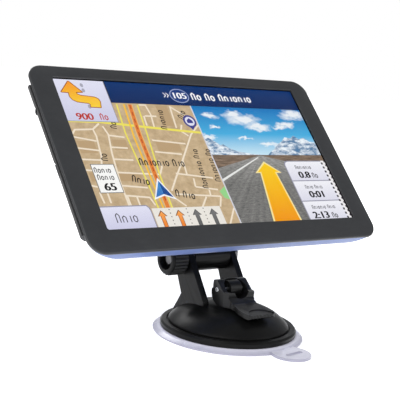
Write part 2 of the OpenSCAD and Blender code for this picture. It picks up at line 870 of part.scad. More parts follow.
// Spring that pushes the stem down when the lever is let go
module stem_spring() {
    color("#c8cacc")
        coil(5.3, 0.5, pad_t + stem_travel + 1.55, ceiling - 0.05, 4);
}

// Soft pad with its pull tab
module suction_pad() {
    tab_x = 6;
    tab_y = -41;
    color("#e4e2f0") {
        rotate_extrude($fn = 96)
            polygon([[0, 0], [pad_r - 0.3, 0], [pad_r, 0.4], [pad_r, 0.9], [pad_r - 1.6, pad_t - 0.3],
                [pad_r - 2.4, pad_t], [0, pad_t]]);
        linear_extrude(1.4) difference() {
            union() {
                translate([tab_x, tab_y]) circle(tab_r);
                translate([tab_x - 8, tab_y + 2]) square([16, 10]);
            }
            hull() for (s = [-1, 1]) translate([tab_x + 4.4 * s + 0.6, tab_y - 1.6 + 0.7 * s]) circle(1.1);
            circle(pad_r - 2);
        }
    }
}

front_bezel();
bezel_gasket();
touch_panel();
lcd_panel();
lcd_frame();
rear_shell();
side_cover();
main_board();
processor_shield();
board_chips();
gps_antenna();
battery();
battery_lead();
speaker();
speaker_lead();
usb_socket();
card_socket();
earphone_jack();
microphone();
lcd_flex();
power_button();
power_switch();
rear_screws();
bracket_plate();
bracket_latch();
latch_pin();
latch_spring();
ball_liner_rear();
ball_liner_front();
collar_ring();
support_arm();
tilt_bolt();
friction_washers();
clamp_knob();
knob_nut();
suction_base();
pull_stem();
lever_pin();
cam_lever();
stem_spring();
suction_pad();
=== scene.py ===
# %% [markdown]
# # A car navigator on a suction stand
# The object is a flat display unit with a wide screen, clipped to a ball joint on a short arm, over a
# black dome with a locking lever and a clear suction pad. The engineering model gives every part's
# place and size. This lesson adds what makes it look real: rounded edges, moulded plastic, a lit
# picture under glass, ribs, threads and soft studio light.

# %% Load the engineering model
import json
import math

import bmesh
import bpy
from mathutils import Matrix, Vector

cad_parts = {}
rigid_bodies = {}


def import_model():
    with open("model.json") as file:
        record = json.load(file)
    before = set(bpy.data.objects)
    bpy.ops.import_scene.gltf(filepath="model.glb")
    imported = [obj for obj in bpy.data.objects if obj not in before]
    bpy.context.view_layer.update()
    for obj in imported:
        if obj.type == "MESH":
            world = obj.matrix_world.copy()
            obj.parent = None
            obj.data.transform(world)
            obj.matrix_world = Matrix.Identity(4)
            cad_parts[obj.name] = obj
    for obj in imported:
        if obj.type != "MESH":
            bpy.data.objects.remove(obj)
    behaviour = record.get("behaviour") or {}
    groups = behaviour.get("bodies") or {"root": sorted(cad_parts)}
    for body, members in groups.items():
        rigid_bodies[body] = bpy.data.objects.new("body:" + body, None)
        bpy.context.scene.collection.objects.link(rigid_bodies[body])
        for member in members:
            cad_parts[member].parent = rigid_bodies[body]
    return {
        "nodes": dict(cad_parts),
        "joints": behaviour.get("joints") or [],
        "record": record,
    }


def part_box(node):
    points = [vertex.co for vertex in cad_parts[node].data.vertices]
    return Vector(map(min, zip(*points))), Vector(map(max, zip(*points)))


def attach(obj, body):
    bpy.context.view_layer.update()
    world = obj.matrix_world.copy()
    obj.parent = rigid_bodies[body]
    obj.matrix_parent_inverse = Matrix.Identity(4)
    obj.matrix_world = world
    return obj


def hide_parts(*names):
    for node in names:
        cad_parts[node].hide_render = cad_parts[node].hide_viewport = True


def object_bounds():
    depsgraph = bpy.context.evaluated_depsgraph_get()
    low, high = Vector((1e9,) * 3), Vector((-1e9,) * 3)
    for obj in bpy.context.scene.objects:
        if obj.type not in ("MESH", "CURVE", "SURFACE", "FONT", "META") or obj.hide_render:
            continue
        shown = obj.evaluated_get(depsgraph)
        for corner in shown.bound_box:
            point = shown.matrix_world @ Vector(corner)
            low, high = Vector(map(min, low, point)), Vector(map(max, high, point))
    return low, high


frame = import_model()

cad_low, cad_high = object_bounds()
MM = 0.001
print("CAD box in mm:", [round(v / MM, 1) for v in (cad_high - cad_low)])

# %% [markdown]
# ## The display unit's own frame
# The screen leans back, so its parts are easier to place in a frame that leans with it: X across,
# then depth into the unit, then up along the screen. The ball joint's spin axis is the screen's
# normal, and its place is the ball's centre, so that one joint gives the whole frame.

# %% A frame that leans with the screen
BALL_DEPTH = 27 * MM
spin = next(j for j in frame["joints"] if j["name"] == "head_spin")
into_unit = Vector(spin["axis"]).normalized()
ball_centre = Vector(spin["pos_m"])
across = Vector((1, 0, 0))
up_screen = across.cross(into_unit).normalized()
unit_origin = ball_centre - BALL_DEPTH * into_unit
UNIT = Matrix((
    (across.x, into_unit.x, up_screen.x, unit_origin.x),
    (across.y, into_unit.y, up_screen.y, unit_origin.y),
    (across.z, into_unit.z, up_screen.z, unit_origin.z),
    (0, 0, 0, 1),
))
print("lean in degrees:", round(math.degrees(math.atan2(-into_unit.z, into_unit.y)), 2))
print("front face centre in mm:", [round(v / MM, 1) for v in unit_origin])


# %% [markdown]
# ## The camera
# The camera comes first, because it decides how fine each detail has to be. It stands to the left of
# the screen, about half a metre away and a little above it, with a long lens, so lines stay nearly
# parallel. It is tipped by five degrees, which makes the object's lower edge rise to the right.

# %% Camera to the left, slightly tipped
CAMERA_PLACE = Vector((-0.302, -0.363, 0.141))
CAMERA_TURN = math.radians(-37.4)
CAMERA_RISE = math.radians(9.1)
CAMERA_ROLL = math.radians(-5.1)
SENSOR = 36.0
LENS = 87.8


def camera_matrix(place, turn, rise, roll):
    """Where the camera stands and how it is turned, as one matrix."""
    back = Vector((
        math.sin(turn) * math.cos(rise),
        -math.cos(turn) * math.cos(rise),
        math.sin(rise),
    ))
    right = (-back).cross(Vector((0, 0, 1))).normalized()
    down = (-back).cross(right)
    tipped_right = math.cos(roll) * right + math.sin(roll) * down
    tipped_up = math.sin(roll) * right - math.cos(roll) * down
    turned = Matrix((tipped_right, tipped_up, back)).transposed().to_4x4()
    return Matrix.Translation(place) @ turned


camera_data = bpy.data.cameras.new("Camera")
camera_data.sensor_width = SENSOR
camera_data.lens = LENS
camera_data.clip_start = 0.01
camera_data.clip_end = 20
camera = bpy.data.objects.new("Camera", camera_data)
bpy.context.collection.objects.link(camera)
camera.matrix_world = camera_matrix(CAMERA_PLACE, CAMERA_TURN, CAMERA_RISE, CAMERA_ROLL)
bpy.context.scene.camera = camera
camera_reach = (CAMERA_PLACE - unit_origin).length
print("camera lens:", LENS, "mm, distance to the screen:", round(camera_reach, 3), "m")

# %% [markdown]
# ## Studio
# A product like this is lit by large soft boxes over a white table. Black plastic shows its shape
# only through what it reflects, so the boxes are placed where their soft streaks run along the dome
# and the lever. The room itself is dim, and only the camera sees it as plain white. Two helpers keep
# all node trees short: one adds a node with its values, the other joins two nodes.

# %% Helpers for node trees, and the room
ROOM_LIGHT = 0.42


def node(tree, kind, **settings):
    """Adds a node, setting its properties, or its inputs where a name starts with a capital."""
    made = tree.nodes.new(kind)
    for label, value in settings.items():
        if label[0].isupper():
            made.inputs[label.replace("_", " ")].default_value = value
        else:
            setattr(made, label, value)
    return made


def wire(tree, source, output, target, entry):
    """Joins an output of one node to an input of another."""
    tree.links.new(source.outputs[output], target.inputs[entry])


bpy.context.scene.view_settings.view_transform = "Standard"
world = bpy.data.worlds.new("Studio room")
bpy.context.scene.world = world
world.use_nodes = True
room = world.node_tree
room.nodes.clear()
room_out = node(room, "ShaderNodeOutputWorld")
room_mix = node(room, "ShaderNodeMixShader")
room_seen = node(room, "ShaderNodeBackground", Color=(1, 1, 1, 1))
room_light = node(room, "ShaderNodeBackground", Color=(0.97, 0.98, 1, 1), Strength=ROOM_LIGHT)
room_path = node(room, "ShaderNodeLightPath")
wire(room, room_path, "Is Camera Ray", room_mix, 0)
wire(room, room_light, 0, room_mix, 1)
wire(room, room_seen, 0, room_mix, 2)
wire(room, room_mix, 0, room_out, "Surface")
print("room light:", ROOM_LIGHT)

# %% [markdown]
# Three soft boxes light the object: a key from the upper left, a weaker and slightly blue fill from
# the right, and a wide one from behind that draws a bright line along the upper edges.

# %% Soft boxes
def soft_box(name, place, aim, size, watts, colour=(1, 1, 1)):
    """A rectangular area light that points at a place."""
    light = bpy.data.lights.new(name, "AREA")
    light.shape = "RECTANGLE"
    light.size, light.size_y = size
    light.energy = watts
    light.color = colour
    box = bpy.data.objects.new(name, light)
    bpy.context.collection.objects.link(box)
    box.location = place
    box.rotation_mode = "QUATERNION"
    box.rotation_quaternion = (Vector(aim) - Vector(place)).to_track_quat("-Z", "Y")
    return box


middle = (cad_low + cad_high) / 2
soft_boxes = [
    soft_box("Key box", (-0.75, -0.35, 0.75), middle, (0.7, 0.5), 7.0),
    soft_box("Fill box", (0.55, -0.85, 0.45), middle, (0.5, 0.6), 3.0, (0.96, 0.98, 1)),
    soft_box("Back box", (0.15, 0.8, 0.7), middle, (0.9, 0.4), 5.0),
]
print("soft boxes and watts:", {box.name: box.data.energy for box in soft_boxes})

# %% [markdown]
# The floor is a wide white disc. Near the object it takes light and soft shadow as paper does, and
# further out it glows until it is as white as the room behind it, so no edge shows. The glow is a
# spherical gradient on the floor's own coordinates. Every material starts with the same few lines,
# so a helper makes it and sets its main shader.

# %% White floor that fades into the room
FLOOR_RADIUS = 3.0
SHADOW_RADIUS = 0.7
NEAR_GLOW = 0.42


def new_finish(name, **values):
    """A new material, with its tree and its main shader, whose inputs are set."""
    material = bpy.data.materials.new(name)
    material.use_nodes = True
    shader = material.node_tree.nodes["Principled BSDF"]
    for label, value in values.items():
        shader.inputs[label.replace("_", " ")].default_value = value
    return material, material.node_tree, shader


floor_mesh = bpy.data.meshes.new("Floor")
floor_maker = bmesh.new()
bmesh.ops.create_circle(floor_maker, cap_ends=True, segments=96, radius=FLOOR_RADIUS)
floor_maker.to_mesh(floor_mesh)
floor_maker.free()
floor = bpy.data.objects.new("Floor", floor_mesh)
bpy.context.collection.objects.link(floor)
floor_finish, paper, paper_shader = new_finish(
    "White paper floor", Base_Color=(0.9, 0.9, 0.905, 1), Roughness=0.7,
    Specular_IOR_Level=0.1, Emission_Strength=1.0,
)
paper_place = node(paper, "ShaderNodeTexCoord")
paper_size = node(paper, "ShaderNodeMapping", Scale=(1 / SHADOW_RADIUS, 1 / SHADOW_RADIUS, 1))
paper_fade = node(paper, "ShaderNodeTexGradient", gradient_type="SPHERICAL")
paper_ramp = node(paper, "ShaderNodeValToRGB")
paper_far, paper_near = paper_ramp.color_ramp.elements
paper_far.position, paper_far.color = 0.25, (1, 1, 1, 1)
paper_near.position, paper_near.color = 1.0, (NEAR_GLOW, NEAR_GLOW, NEAR_GLOW, 1)
wire(paper, paper_place, "Object", paper_size, "Vector")
wire(paper, paper_size, "Vector", paper_fade, "Vector")
wire(paper, paper_fade, "Fac", paper_ramp, "Fac")
wire(paper, paper_ramp, "Color", paper_shader, "Emission Color")
floor_mesh.materials.append(floor_finish)
print("floor radius:", FLOOR_RADIUS, "m, with shadow within", SHADOW_RADIUS, "m")

# %% [markdown]
# ## Shader groups
# Three effects turn up on nearly every part: the fine grain that a steel mould leaves in plastic,
# slow blotches of tone and gloss from handling, and the polish that edges pick up. Each is a small
# shader node group. It puts out values only, and every material adds it with its own numbers.

# %% A helper for shader groups, and the mould grain
def shader_group(name, inputs, outputs):
    """A new shader node group with named value sockets."""
    group = bpy.data.node_groups.new(name, "ShaderNodeTree")
    for label, value in inputs:
        socket = group.interface.new_socket(label, in_out="INPUT", socket_type="NodeSocketFloat")
        socket.default_value = value
    for label, kind in outputs:
        group.interface.new_socket(label, in_out="OUTPUT", socket_type=kind)
    return group, group.nodes.new("NodeGroupInput"), group.nodes.new("NodeGroupOutput")


grain_group, grain_in, grain_out = shader_group(
    "Mould grain", [("Scale", 900.0), ("Depth", 1.0)], [("Height", "NodeSocketFloat")]
)
grain_place = node(grain_group, "ShaderNodeTexCoord")
grain_cells = node(grain_group, "ShaderNodeTexVoronoi", feature="SMOOTH_F1", Smoothness=0.6)
grain_noise = node(grain_group, "ShaderNodeTexNoise", Detail=3.0, Roughness=0.6)
grain_mix = node(grain_group, "ShaderNodeMath", operation="MULTIPLY_ADD")
grain_depth = node(grain_group, "ShaderNodeMath", operation="MULTIPLY")
wire(grain_group, grain_place, "Object", grain_cells, "Vector")
wire(grain_group, grain_place, "Object", grain_noise, "Vector")
wire(grain_group, grain_in, "Scale", grain_cells, "Scale")
wire(grain_group, grain_in, "Scale", grain_noise, "Scale")
wire(grain_group, grain_cells, "Distance", grain_mix, 0)
grain_mix.inputs[1].default_value = 0.7
wire(grain_group, grain_noise, "Fac", grain_mix, 2)
wire(grain_group, grain_mix, 0, grain_depth, 0)
wire(grain_group, grain_in, "Depth", grain_depth, 1)
wire(grain_group, grain_depth, 0, grain_out, "Height")
print("mould grain:", len(grain_group.nodes), "nodes,", len(grain_group.links), "links")

# %% [markdown]
# Hands leave slow blotches and thin wipes on plastic. Two noises are multiplied, one of them
# stretched, and a range turns the product into any pair of limits, so one group can drive both the
# tone and the gloss.

# %% Handling marks: slow blotches and thin wipes
marks_group, marks_in, marks_out = shader_group(
    "Handling marks", [("Scale", 40.0), ("Low", 0.0), ("High", 1.0)], [("Value", "NodeSocketFloat")]
)
marks_place = node(marks_group, "ShaderNodeTexCoord")
marks_stretch = node(
    marks_group, "ShaderNodeMapping", Rotation=(0.3, 0.5, 0.8), Scale=(1.0, 3.0, 0.6)
)
marks_blotch = node(marks_group, "ShaderNodeTexNoise", Detail=4.0, Roughness=0.55)
marks_wipe = node(marks_group, "ShaderNodeTexNoise", Detail=6.0, Roughness=0.7)
marks_more = node(marks_group, "ShaderNodeMath", operation="MULTIPLY")
marks_more.inputs[1].default_value = 4.0
marks_sum = node(marks_group, "ShaderNodeMath", operation="MULTIPLY")
marks_range = node(marks_group, "ShaderNodeMapRange", From_Min=0.12, From_Max=0.42)
wire(marks_group, marks_place, "Object", marks_blotch, "Vector")
wire(marks_group, marks_place, "Object", marks_stretch, "Vector")
wire(marks_group, marks_stretch, "Vector", marks_wipe, "Vector")
wire(marks_group, marks_in, "Scale", marks_blotch, "Scale")
wire(marks_group, marks_in, "Scale", marks_more, 0)
wire(marks_group, marks_more, 0, marks_wipe, "Scale")
wire(marks_group, marks_blotch, "Fac", marks_sum, 0)
wire(marks_group, marks_wipe, "Fac", marks_sum, 1)
wire(marks_group, marks_sum, 0, marks_range, "Value")
wire(marks_group, marks_in, "Low", marks_range, "To Min")
wire(marks_group, marks_in, "High", marks_range, "To Max")
wire(marks_group, marks_range, "Result", marks_out, "Value")
print("handling marks:", len(marks_group.nodes), "nodes,", len(marks_group.links), "links")

# %% [markdown]
# Outside edges get rubbed and catch light. Pointiness is high there, so a range over it gives a mask
# that a material can use to lighten its edges.

# %% Edge polish: a mask that is high on sharp outside edges
edge_group, edge_in, edge_out = shader_group(
    "Edge polish", [("Start", 0.52), ("End", 0.6)], [("Mask", "NodeSocketFloat")]
)
edge_shape = node(edge_group, "ShaderNodeNewGeometry")
edge_range = node(edge_group, "ShaderNodeMapRange")
wire(edge_group, edge_shape, "Pointiness", edge_range, "Value")
wire(edge_group, edge_in, "Start", edge_range, "From Min")
wire(edge_group, edge_in, "End", edge_range, "From Max")
wire(edge_group, edge_range, "Result", edge_out, "Mask")
print("shader groups:", [g.name for g in bpy.data.node_groups])

# %% [markdown]
# ## Materials
# A colour is given as it looks on a display, from 0 to 255, and is turned into linear light first,
# because that is what the shader expects. Two close tones of it, mixed by the handling marks and a
# touch lighter at the edges, already look less like a computer's plain grey.

# %% Colours, and two tones of one colour
WORN_SHARE = 0.35


def linear(red, green, blue, alpha=1.0):
    """A colour given as 0 to 255 on a display, as linear light."""
    def channel(value):
        value = value / 255
        return value / 12.92 if value <= 0.04045 else ((value + 0.055) / 1.055) ** 2.4
    return (channel(red), channel(green), channel(blue), alpha)


def lighter(colour, amount):
    """The same colour, moved towards white by a share."""
    return tuple(c + (1 - c) * amount for c in colour[:3]) + (1.0,)


def placed_group(tree, group, **values):
    """A shader group as a node, with its inputs set."""
    return node(tree, "ShaderNodeGroup", node_tree=group, **values)


def two_tones(tree, shader, colour, second, scale, edge):
    """Feeds Base Color with two tones mixed by handling marks, and lighter edges."""
    marks = placed_group(tree, marks_group, Scale=scale)
    tones = node(tree, "ShaderNodeMix", data_type="RGBA")
    tones.inputs[6].default_value = colour
    tones.inputs[7].default_value = second
    wire(tree, marks, "Value", tones, 0)
    polish = placed_group(tree, edge_group)
    share = node(tree, "ShaderNodeMath", operation="MULTIPLY")
    share.inputs[1].default_value = edge
    worn = node(tree, "ShaderNodeMix", data_type="RGBA")
    worn.inputs[7].default_value = lighter(colour, WORN_SHARE)
    wire(tree, polish, "Mask", share, 0)
    wire(tree, share, 0, worn, 0)
    wire(tree, tones, 2, worn, 6)
    wire(tree, worn, 2, shader, "Base Color")


print("middle grey in linear light:", round(linear(128, 128, 128)[0], 3))

# %% [markdown]
# Most parts are injection-moulded plastic, so one maker builds them all: two tones, roughness that
# wanders a little, and a bump from the mould grain. Each plastic then differs only in its numbers.

# %% A maker for moulded plastic
TONE_SCALE, GLOSS_SCALE = 55.0, 70.0
GRAIN_HEIGHT = 0.00004


def wandering_roughness(tree, shader, low, high, scale):
    """Feeds Roughness with a value that drifts between two limits."""
    marks = placed_group(tree, marks_group, Scale=scale, Low=low, High=high)
    wire(tree, marks, "Value", shader, "Roughness")


def grain_bump(tree, shader, scale, strength):
    """Feeds Normal with the mould grain."""
    grain = placed_group(tree, grain_group, Scale=scale)
    bump = node(tree, "ShaderNodeBump", Strength=strength, Distance=GRAIN_HEIGHT)
    wire(tree, grain, "Height", bump, "Height")
    wire(tree, bump, "Normal", shader, "Normal")


def moulded_plastic(name, colour, second, rough, grain, strength, edge=0.2, coat=0.0, level=0.5):
    """An injection-moulded plastic with grain, handling marks and worn edges."""
    material, tree, shader = new_finish(
        name, Coat_Weight=coat, Coat_Roughness=0.15, Specular_IOR_Level=level
    )
    two_tones(tree, shader, colour, second, TONE_SCALE, edge)
    wandering_roughness(tree, shader, rough[0], rough[1], GLOSS_SCALE)
    grain_bump(tree, shader, grain, strength)
    return material


BEZEL = moulded_plastic(
    "Bezel satin black", linear(45, 46, 48), linear(51, 52, 54), (0.36, 0.46), 1500, 0.25, edge=0.3, level=0.3
)
print("grain height in mm:", GRAIN_HEIGHT / MM)

# %% [markdown]
# The object has eight more plastics. The back case is glossy and blue, with a thin clear coat. The
# blacks differ in tone, gloss and grain: smooth on the dome, coarser where a hand has to grip.

# %% The other plastics of this object
SHELL = moulded_plastic(
    "Back case blue gloss", linear(104, 122, 172), linear(114, 132, 182), (0.34, 0.42), 2200, 0.15,
    coat=0.15, level=0.35,
)
COVER = moulded_plastic(
    "Port strip black", linear(28, 28, 29), linear(33, 33, 34), (0.36, 0.46), 1600, 0.2, edge=0.1, level=0.35
)
STAND = moulded_plastic(
    "Stand black", linear(12, 12, 12), linear(17, 17, 17), (0.28, 0.38), 1300, 0.15, edge=0.04, level=0.15
)
LEVER = moulded_plastic(
    "Lever black", linear(15, 15, 16), linear(21, 21, 22), (0.3, 0.4), 1300, 0.2, edge=0.08, level=0.26
)
KNOB = moulded_plastic(
    "Knob matt black", linear(12, 12, 12), linear(18, 18, 18), (0.42, 0.52), 1100, 0.3, edge=0.08, level=0.14
)
BRACKET = moulded_plastic("Bracket black", linear(24, 24, 25), linear(31, 31, 33), (0.38, 0.5), 900, 0.45)
BUTTON = moulded_plastic("Button black", linear(30, 30, 31), linear(38, 38, 39), (0.35, 0.45), 1500, 0.3)
LINER = moulded_plastic("Nylon liner", linear(96, 96, 100), linear(112, 112, 116), (0.45, 0.55), 800, 0.3)
PLASTICS = (BEZEL, SHELL, COVER, STAND, LEVER, KNOB, BRACKET, BUTTON, LINER)
print("plastics:", [plastic.name for plastic in PLASTICS])

# %% [markdown]
# Metal parts are small: a bolt, a nut, pins, screws and the socket shells. Turned or drawn steel has
# fine lines around or along it. A stretched noise gives them, as a bump and as a change of gloss.

# %% Bright steel and plated sheet
LINE_HEIGHT = 0.00002


def drawn_metal(name, colour, rough, stretch):
    """A bare metal with fine lines across one direction."""
    material, tree, shader = new_finish(name, Metallic=1.0)
    place = node(tree, "ShaderNodeTexCoord")
    turn = node(tree, "ShaderNodeMapping", Scale=stretch)
    lines = node(tree, "ShaderNodeTexNoise", Scale=1200.0, Detail=4.0)
    gloss = node(tree, "ShaderNodeMapRange", To_Min=rough[0], To_Max=rough[1])
    bump = node(tree, "ShaderNodeBump", Strength=0.25, Distance=LINE_HEIGHT)
    wire(tree, place, "Object", turn, "Vector")
    wire(tree, turn, "Vector", lines, "Vector")
    wire(tree, lines, "Fac", gloss, "Value")
    wire(tree, gloss, "Result", shader, "Roughness")
    wire(tree, lines, "Fac", bump, "Height")
    wire(tree, bump, "Normal", shader, "Normal")
    two_tones(tree, shader, colour, lighter(colour, 0.1), 160.0, 0.3)
    return material


DARK_STEEL = drawn_metal("Blackened steel", linear(74, 74, 78), (0.3, 0.45), (1.0, 0.3, 1.0))
STEEL = drawn_metal("Bright steel", linear(196, 198, 202), (0.16, 0.34), (3.0, 0.2, 0.2))
SCREW = drawn_metal("Zinc screw", linear(176, 178, 184), (0.25, 0.45), (1.0, 1.0, 1.0))
SOCKET = drawn_metal("Plated socket", linear(168, 170, 174), (0.22, 0.4), (0.3, 1.0, 2.0))
PRESSED = drawn_metal("Pressed frame", linear(160, 165, 172), (0.3, 0.5), (0.4, 1.0, 1.0))
print("metals:", [metal.name for metal in (STEEL, DARK_STEEL, SCREW, SOCKET, PRESSED)])

# %% [markdown]
# The suction pad is clear soft vinyl with a faint lilac cast. It lets some light through and looks
# white from above, so a little transmission is mixed with a pale body colour. The rim and the other
# upright faces get painted shade: the height part of the surface's direction picks a darker colour
# for them. Its skin is nearly smooth, with a little cloudiness.

# %% Clear vinyl for the pad, with painted shade on its upright faces
def vinyl_with_painted_side_shade(name, top, side):
    """Cloudy soft plastic, with painted shade that makes its rim and upright faces darker than its flat
    faces.
    """
    material, tree, shader = new_finish(
        name, Transmission_Weight=0.12, IOR=1.45, Coat_Weight=0.3, Coat_Roughness=0.08
    )
    # Painted shade: the further a face leans from flat, the more it takes the darker side colour.
    shape = node(tree, "ShaderNodeNewGeometry")
    split = node(tree, "ShaderNodeSeparateXYZ")
    flat = node(tree, "ShaderNodeMath", operation="ABSOLUTE")
    share = node(tree, "ShaderNodeMapRange", From_Min=0.82, From_Max=0.99)
    cloud = placed_group(tree, marks_group, Scale=30.0, Low=-0.12, High=0.12)
    total = node(tree, "ShaderNodeMath", operation="ADD", use_clamp=True)
    mix = node(tree, "ShaderNodeMix", data_type="RGBA")
    mix.inputs[6].default_value = side
    mix.inputs[7].default_value = top
    wire(tree, shape, "Normal", split, 0)
    wire(tree, split, "Z", flat, 0)
    wire(tree, flat, 0, share, "Value")
    wire(tree, share, "Result", total, 0)
    wire(tree, cloud, "Value", total, 1)
    wire(tree, total, 0, mix, 0)
    wire(tree, mix, 2, shader, "Base Color")
    wandering_roughness(tree, shader, 0.16, 0.3, 60.0)
    grain_bump(tree, shader, 260.0, 0.08)
    return material


# The second colour is the painted shade of the pad's rim and upright faces.
VINYL = vinyl_with_painted_side_shade("Clear lilac vinyl", linear(228, 227, 240), linear(164, 163, 180))
print("vinyl nodes:", len(VINYL.node_tree.nodes))

# %% [markdown]
# The touch glass has an anti-glare film, so it reflects very little. Its index of refraction is set
# low to stand for that film, and the picture behind it stays readable from the side.

# %% Coated touch glass
FILM_INDEX = 1.12


def coated_glass(name):
    """Clear glass with a faint wiped film."""
    material, tree, shader = new_finish(
        name, Base_Color=(1, 1, 1, 1), Transmission_Weight=1.0, IOR=FILM_INDEX
    )
    wandering_roughness(tree, shader, 0.0, 0.02, 25.0)
    return material


GLASS = coated_glass("Coated touch glass")
print("index of refraction of the film:", FILM_INDEX)

# %% [markdown]
# ## Putting pieces on their bodies
# Each piece belongs to one moving body, so that it follows its joint, and gets its material. A piece
# that stands in for a CAD part hides that part, and the part gets the same finish.

# %% Helpers that register a piece
def new_object(name, mesh):
    """Links a mesh into the scene at the origin."""
    made = bpy.data.objects.new(name, mesh)
    bpy.context.collection.objects.link(made)
    return made


def body_of_node(cad_node):
    """The body that a CAD node belongs to."""
    bodies = frame["record"]["behaviour"]["bodies"]
    return next(body for body, nodes in bodies.items() if cad_node in nodes)


def recoat(cad_node, material):
    """Gives a CAD node's own object a new material."""
    for entry in frame["nodes"][cad_node].material_slots:
        entry.link = "OBJECT"
        entry.material = material


def register(piece, cad_node, material, replaces=True):
    """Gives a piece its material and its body."""
    if material is not None:
        piece.data.materials.clear()
        piece.data.materials.append(material)
    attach(piece, body_of_node(cad_node))
    if replaces:
        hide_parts(cad_node)
        recoat(cad_node, material)
    return piece


def shade(mesh, angle):
    """Smooth shading, with edges left sharp past an angle in degrees."""
    mesh.shade_smooth()
    mesh.set_sharp_from_angle(angle=math.radians(angle))


print("the locking lever belongs to the body:", body_of_node("cam_lever"))

# %% [markdown]
# ## Rounding the engineering parts
# Real mouldings have no razor edges. A copy of each CAD part is welded, its flat faces are joined
# again, and a Bevel modifier rounds the sharp edges, which then catch the soft boxes as thin bright
# lines. The copy stands in for the CAD part, which is hidden but stays in the scene.

# %% Parts with rounded edges
WELD_REACH = 0.002
FLAT_ANGLE = 0.4


def welded_copy(cad_node, name):
    """A CAD node's mesh with its loose triangles joined into clean faces."""
    mesh = frame["nodes"][cad_node].data.copy()
    mesh.name = name
    work = bmesh.new()
    work.from_mesh(mesh)
    bmesh.ops.remove_doubles(work, verts=work.verts, dist=WELD_REACH * MM)
    bmesh.ops.dissolve_limit(
        work, angle_limit=math.radians(FLAT_ANGLE), verts=work.verts, edges=work.edges
    )
    work.to_mesh(mesh)
    work.free()
    return new_object(name, mesh)


def rounded(piece, width, angle=32):
    """Rounds edges sharper than an angle, and shades the rest smooth."""
    shade(piece.data, angle)
    bevel = piece.modifiers.new("Rounded edges", "BEVEL")
    bevel.width = width * MM
    bevel.segments = 3
    bevel.limit_method = "ANGLE"
    bevel.angle_limit = math.radians(angle)
    bevel.harden_normals = True
    bevel.miter_outer = "MITER_ARC"
    return piece


ROUNDED_PARTS = {
    "suction_base": ("stand_moulding", STAND, 0.45),
    "cam_lever": ("locking_lever", LEVER, 0.35),
    "support_arm": ("tilting_arm", STAND, 0.4),
    "bracket_plate": ("clip_plate", BRACKET, 0.25),
    "bracket_latch": ("clip_latch", BRACKET, 0.15),
    "side_cover": ("port_strip", COVER, 0.15),
    "power_button": ("power_key", BUTTON, 0.2),
    "rear_screws": ("back_screws", SCREW, 0.08),
    "tilt_bolt": ("clamp_bolt", DARK_STEEL, 0.25),
    "knob_nut": ("clamp_nut", DARK_STEEL, 0.2),
    "lever_pin": ("bright_pin", STEEL, 0.15),
    "pull_stem": ("lifting_stem", STAND, 0.2),
    "latch_pin": ("latch_axle", STEEL, 0.1),
    "suction_pad": ("vinyl_pad", VINYL, 0.25),
}
for cad_node, (name, material, width) in ROUNDED_PARTS.items():
    register(rounded(welded_copy(cad_node, name), width), cad_node, material)
print("rounded parts:", len(ROUNDED_PARTS))

# %% [markdown]
# ## Lofting the display unit's shells
# The front frame and the back shell are rounded rectangles that change size with depth. A loft makes
# them: rings of points with the same count, joined row by row. It gives a smooth skin where the
# engineering model has flat bands.

# %% Rings and lofts
CORNER_STEPS = 12


def ring(half_w, half_h, radius, depth, up=0.0):
    """Points of a rounded rectangle in the unit's frame, in millimetres."""
    points = []
    for number, (sx, sz) in enumerate(((1, 1), (-1, 1), (-1, -1), (1, -1))):
        centre_x = sx * (half_w - radius)
        centre_up = sz * (half_h - radius) + up
        for step in range(CORNER_STEPS + 1):
            angle = math.radians(90 * number + 90 * step / CORNER_STEPS)
            x = centre_x + radius * math.cos(angle)
            z = centre_up + radius * math.sin(angle)
            points.append(UNIT @ Vector((x * MM, depth * MM, z * MM)))
    return points


def loft(name, rings, capped=False):
    """Joins rings into a skin. It runs round to the first ring again, or has both its ends filled."""
    work = bmesh.new()
    rows = [[work.verts.new(p) for p in points] for points in rings]
    count = len(rows[0])
    for low, high in zip(rows, rows[1:] if capped else rows[1:] + rows[:1]):
        for j in range(count):
            k = (j + 1) % count
            work.faces.new((low[j], low[k], high[k], high[j]))
    if capped:
        work.faces.new(rows[0])
        work.faces.new(rows[-1])
    bmesh.ops.remove_doubles(work, verts=work.verts, dist=0.0005 * MM)
    bmesh.ops.recalc_face_normals(work, faces=work.faces)
    mesh = bpy.data.meshes.new(name)
    work.to_mesh(mesh)
    work.free()
    return new_object(name, mesh)


print("points in one ring:", 4 * (CORNER_STEPS + 1))

# %% [markdown]
# The front frame is one closed loft. Its section starts behind the lip, rolls over a rounded front
# edge, crosses the flat face, drops over a small rounded step into the window, and returns behind
# the glass. The thin bright line round the real frame is that rounded front edge.

# %% Front frame
FACE_W, FACE_H, FACE_R = 89.0, 53.0, 8.5
LIP = 1.6
VIEW_W, VIEW_H, VIEW_R, VIEW_UP = 77.0, 43.4, 1.0, 2.4
EDGE, INNER_EDGE = 0.7, 0.3
STEP = 0.8
REBATE = 1.8
SLOPE_WIDTH, SLOPE_DROP = 4.2, 0.3


def quarter(steps):
    """Angles of a rounded edge, in radians."""
    return [math.radians(90 * i / steps) for i in range(steps + 1)]


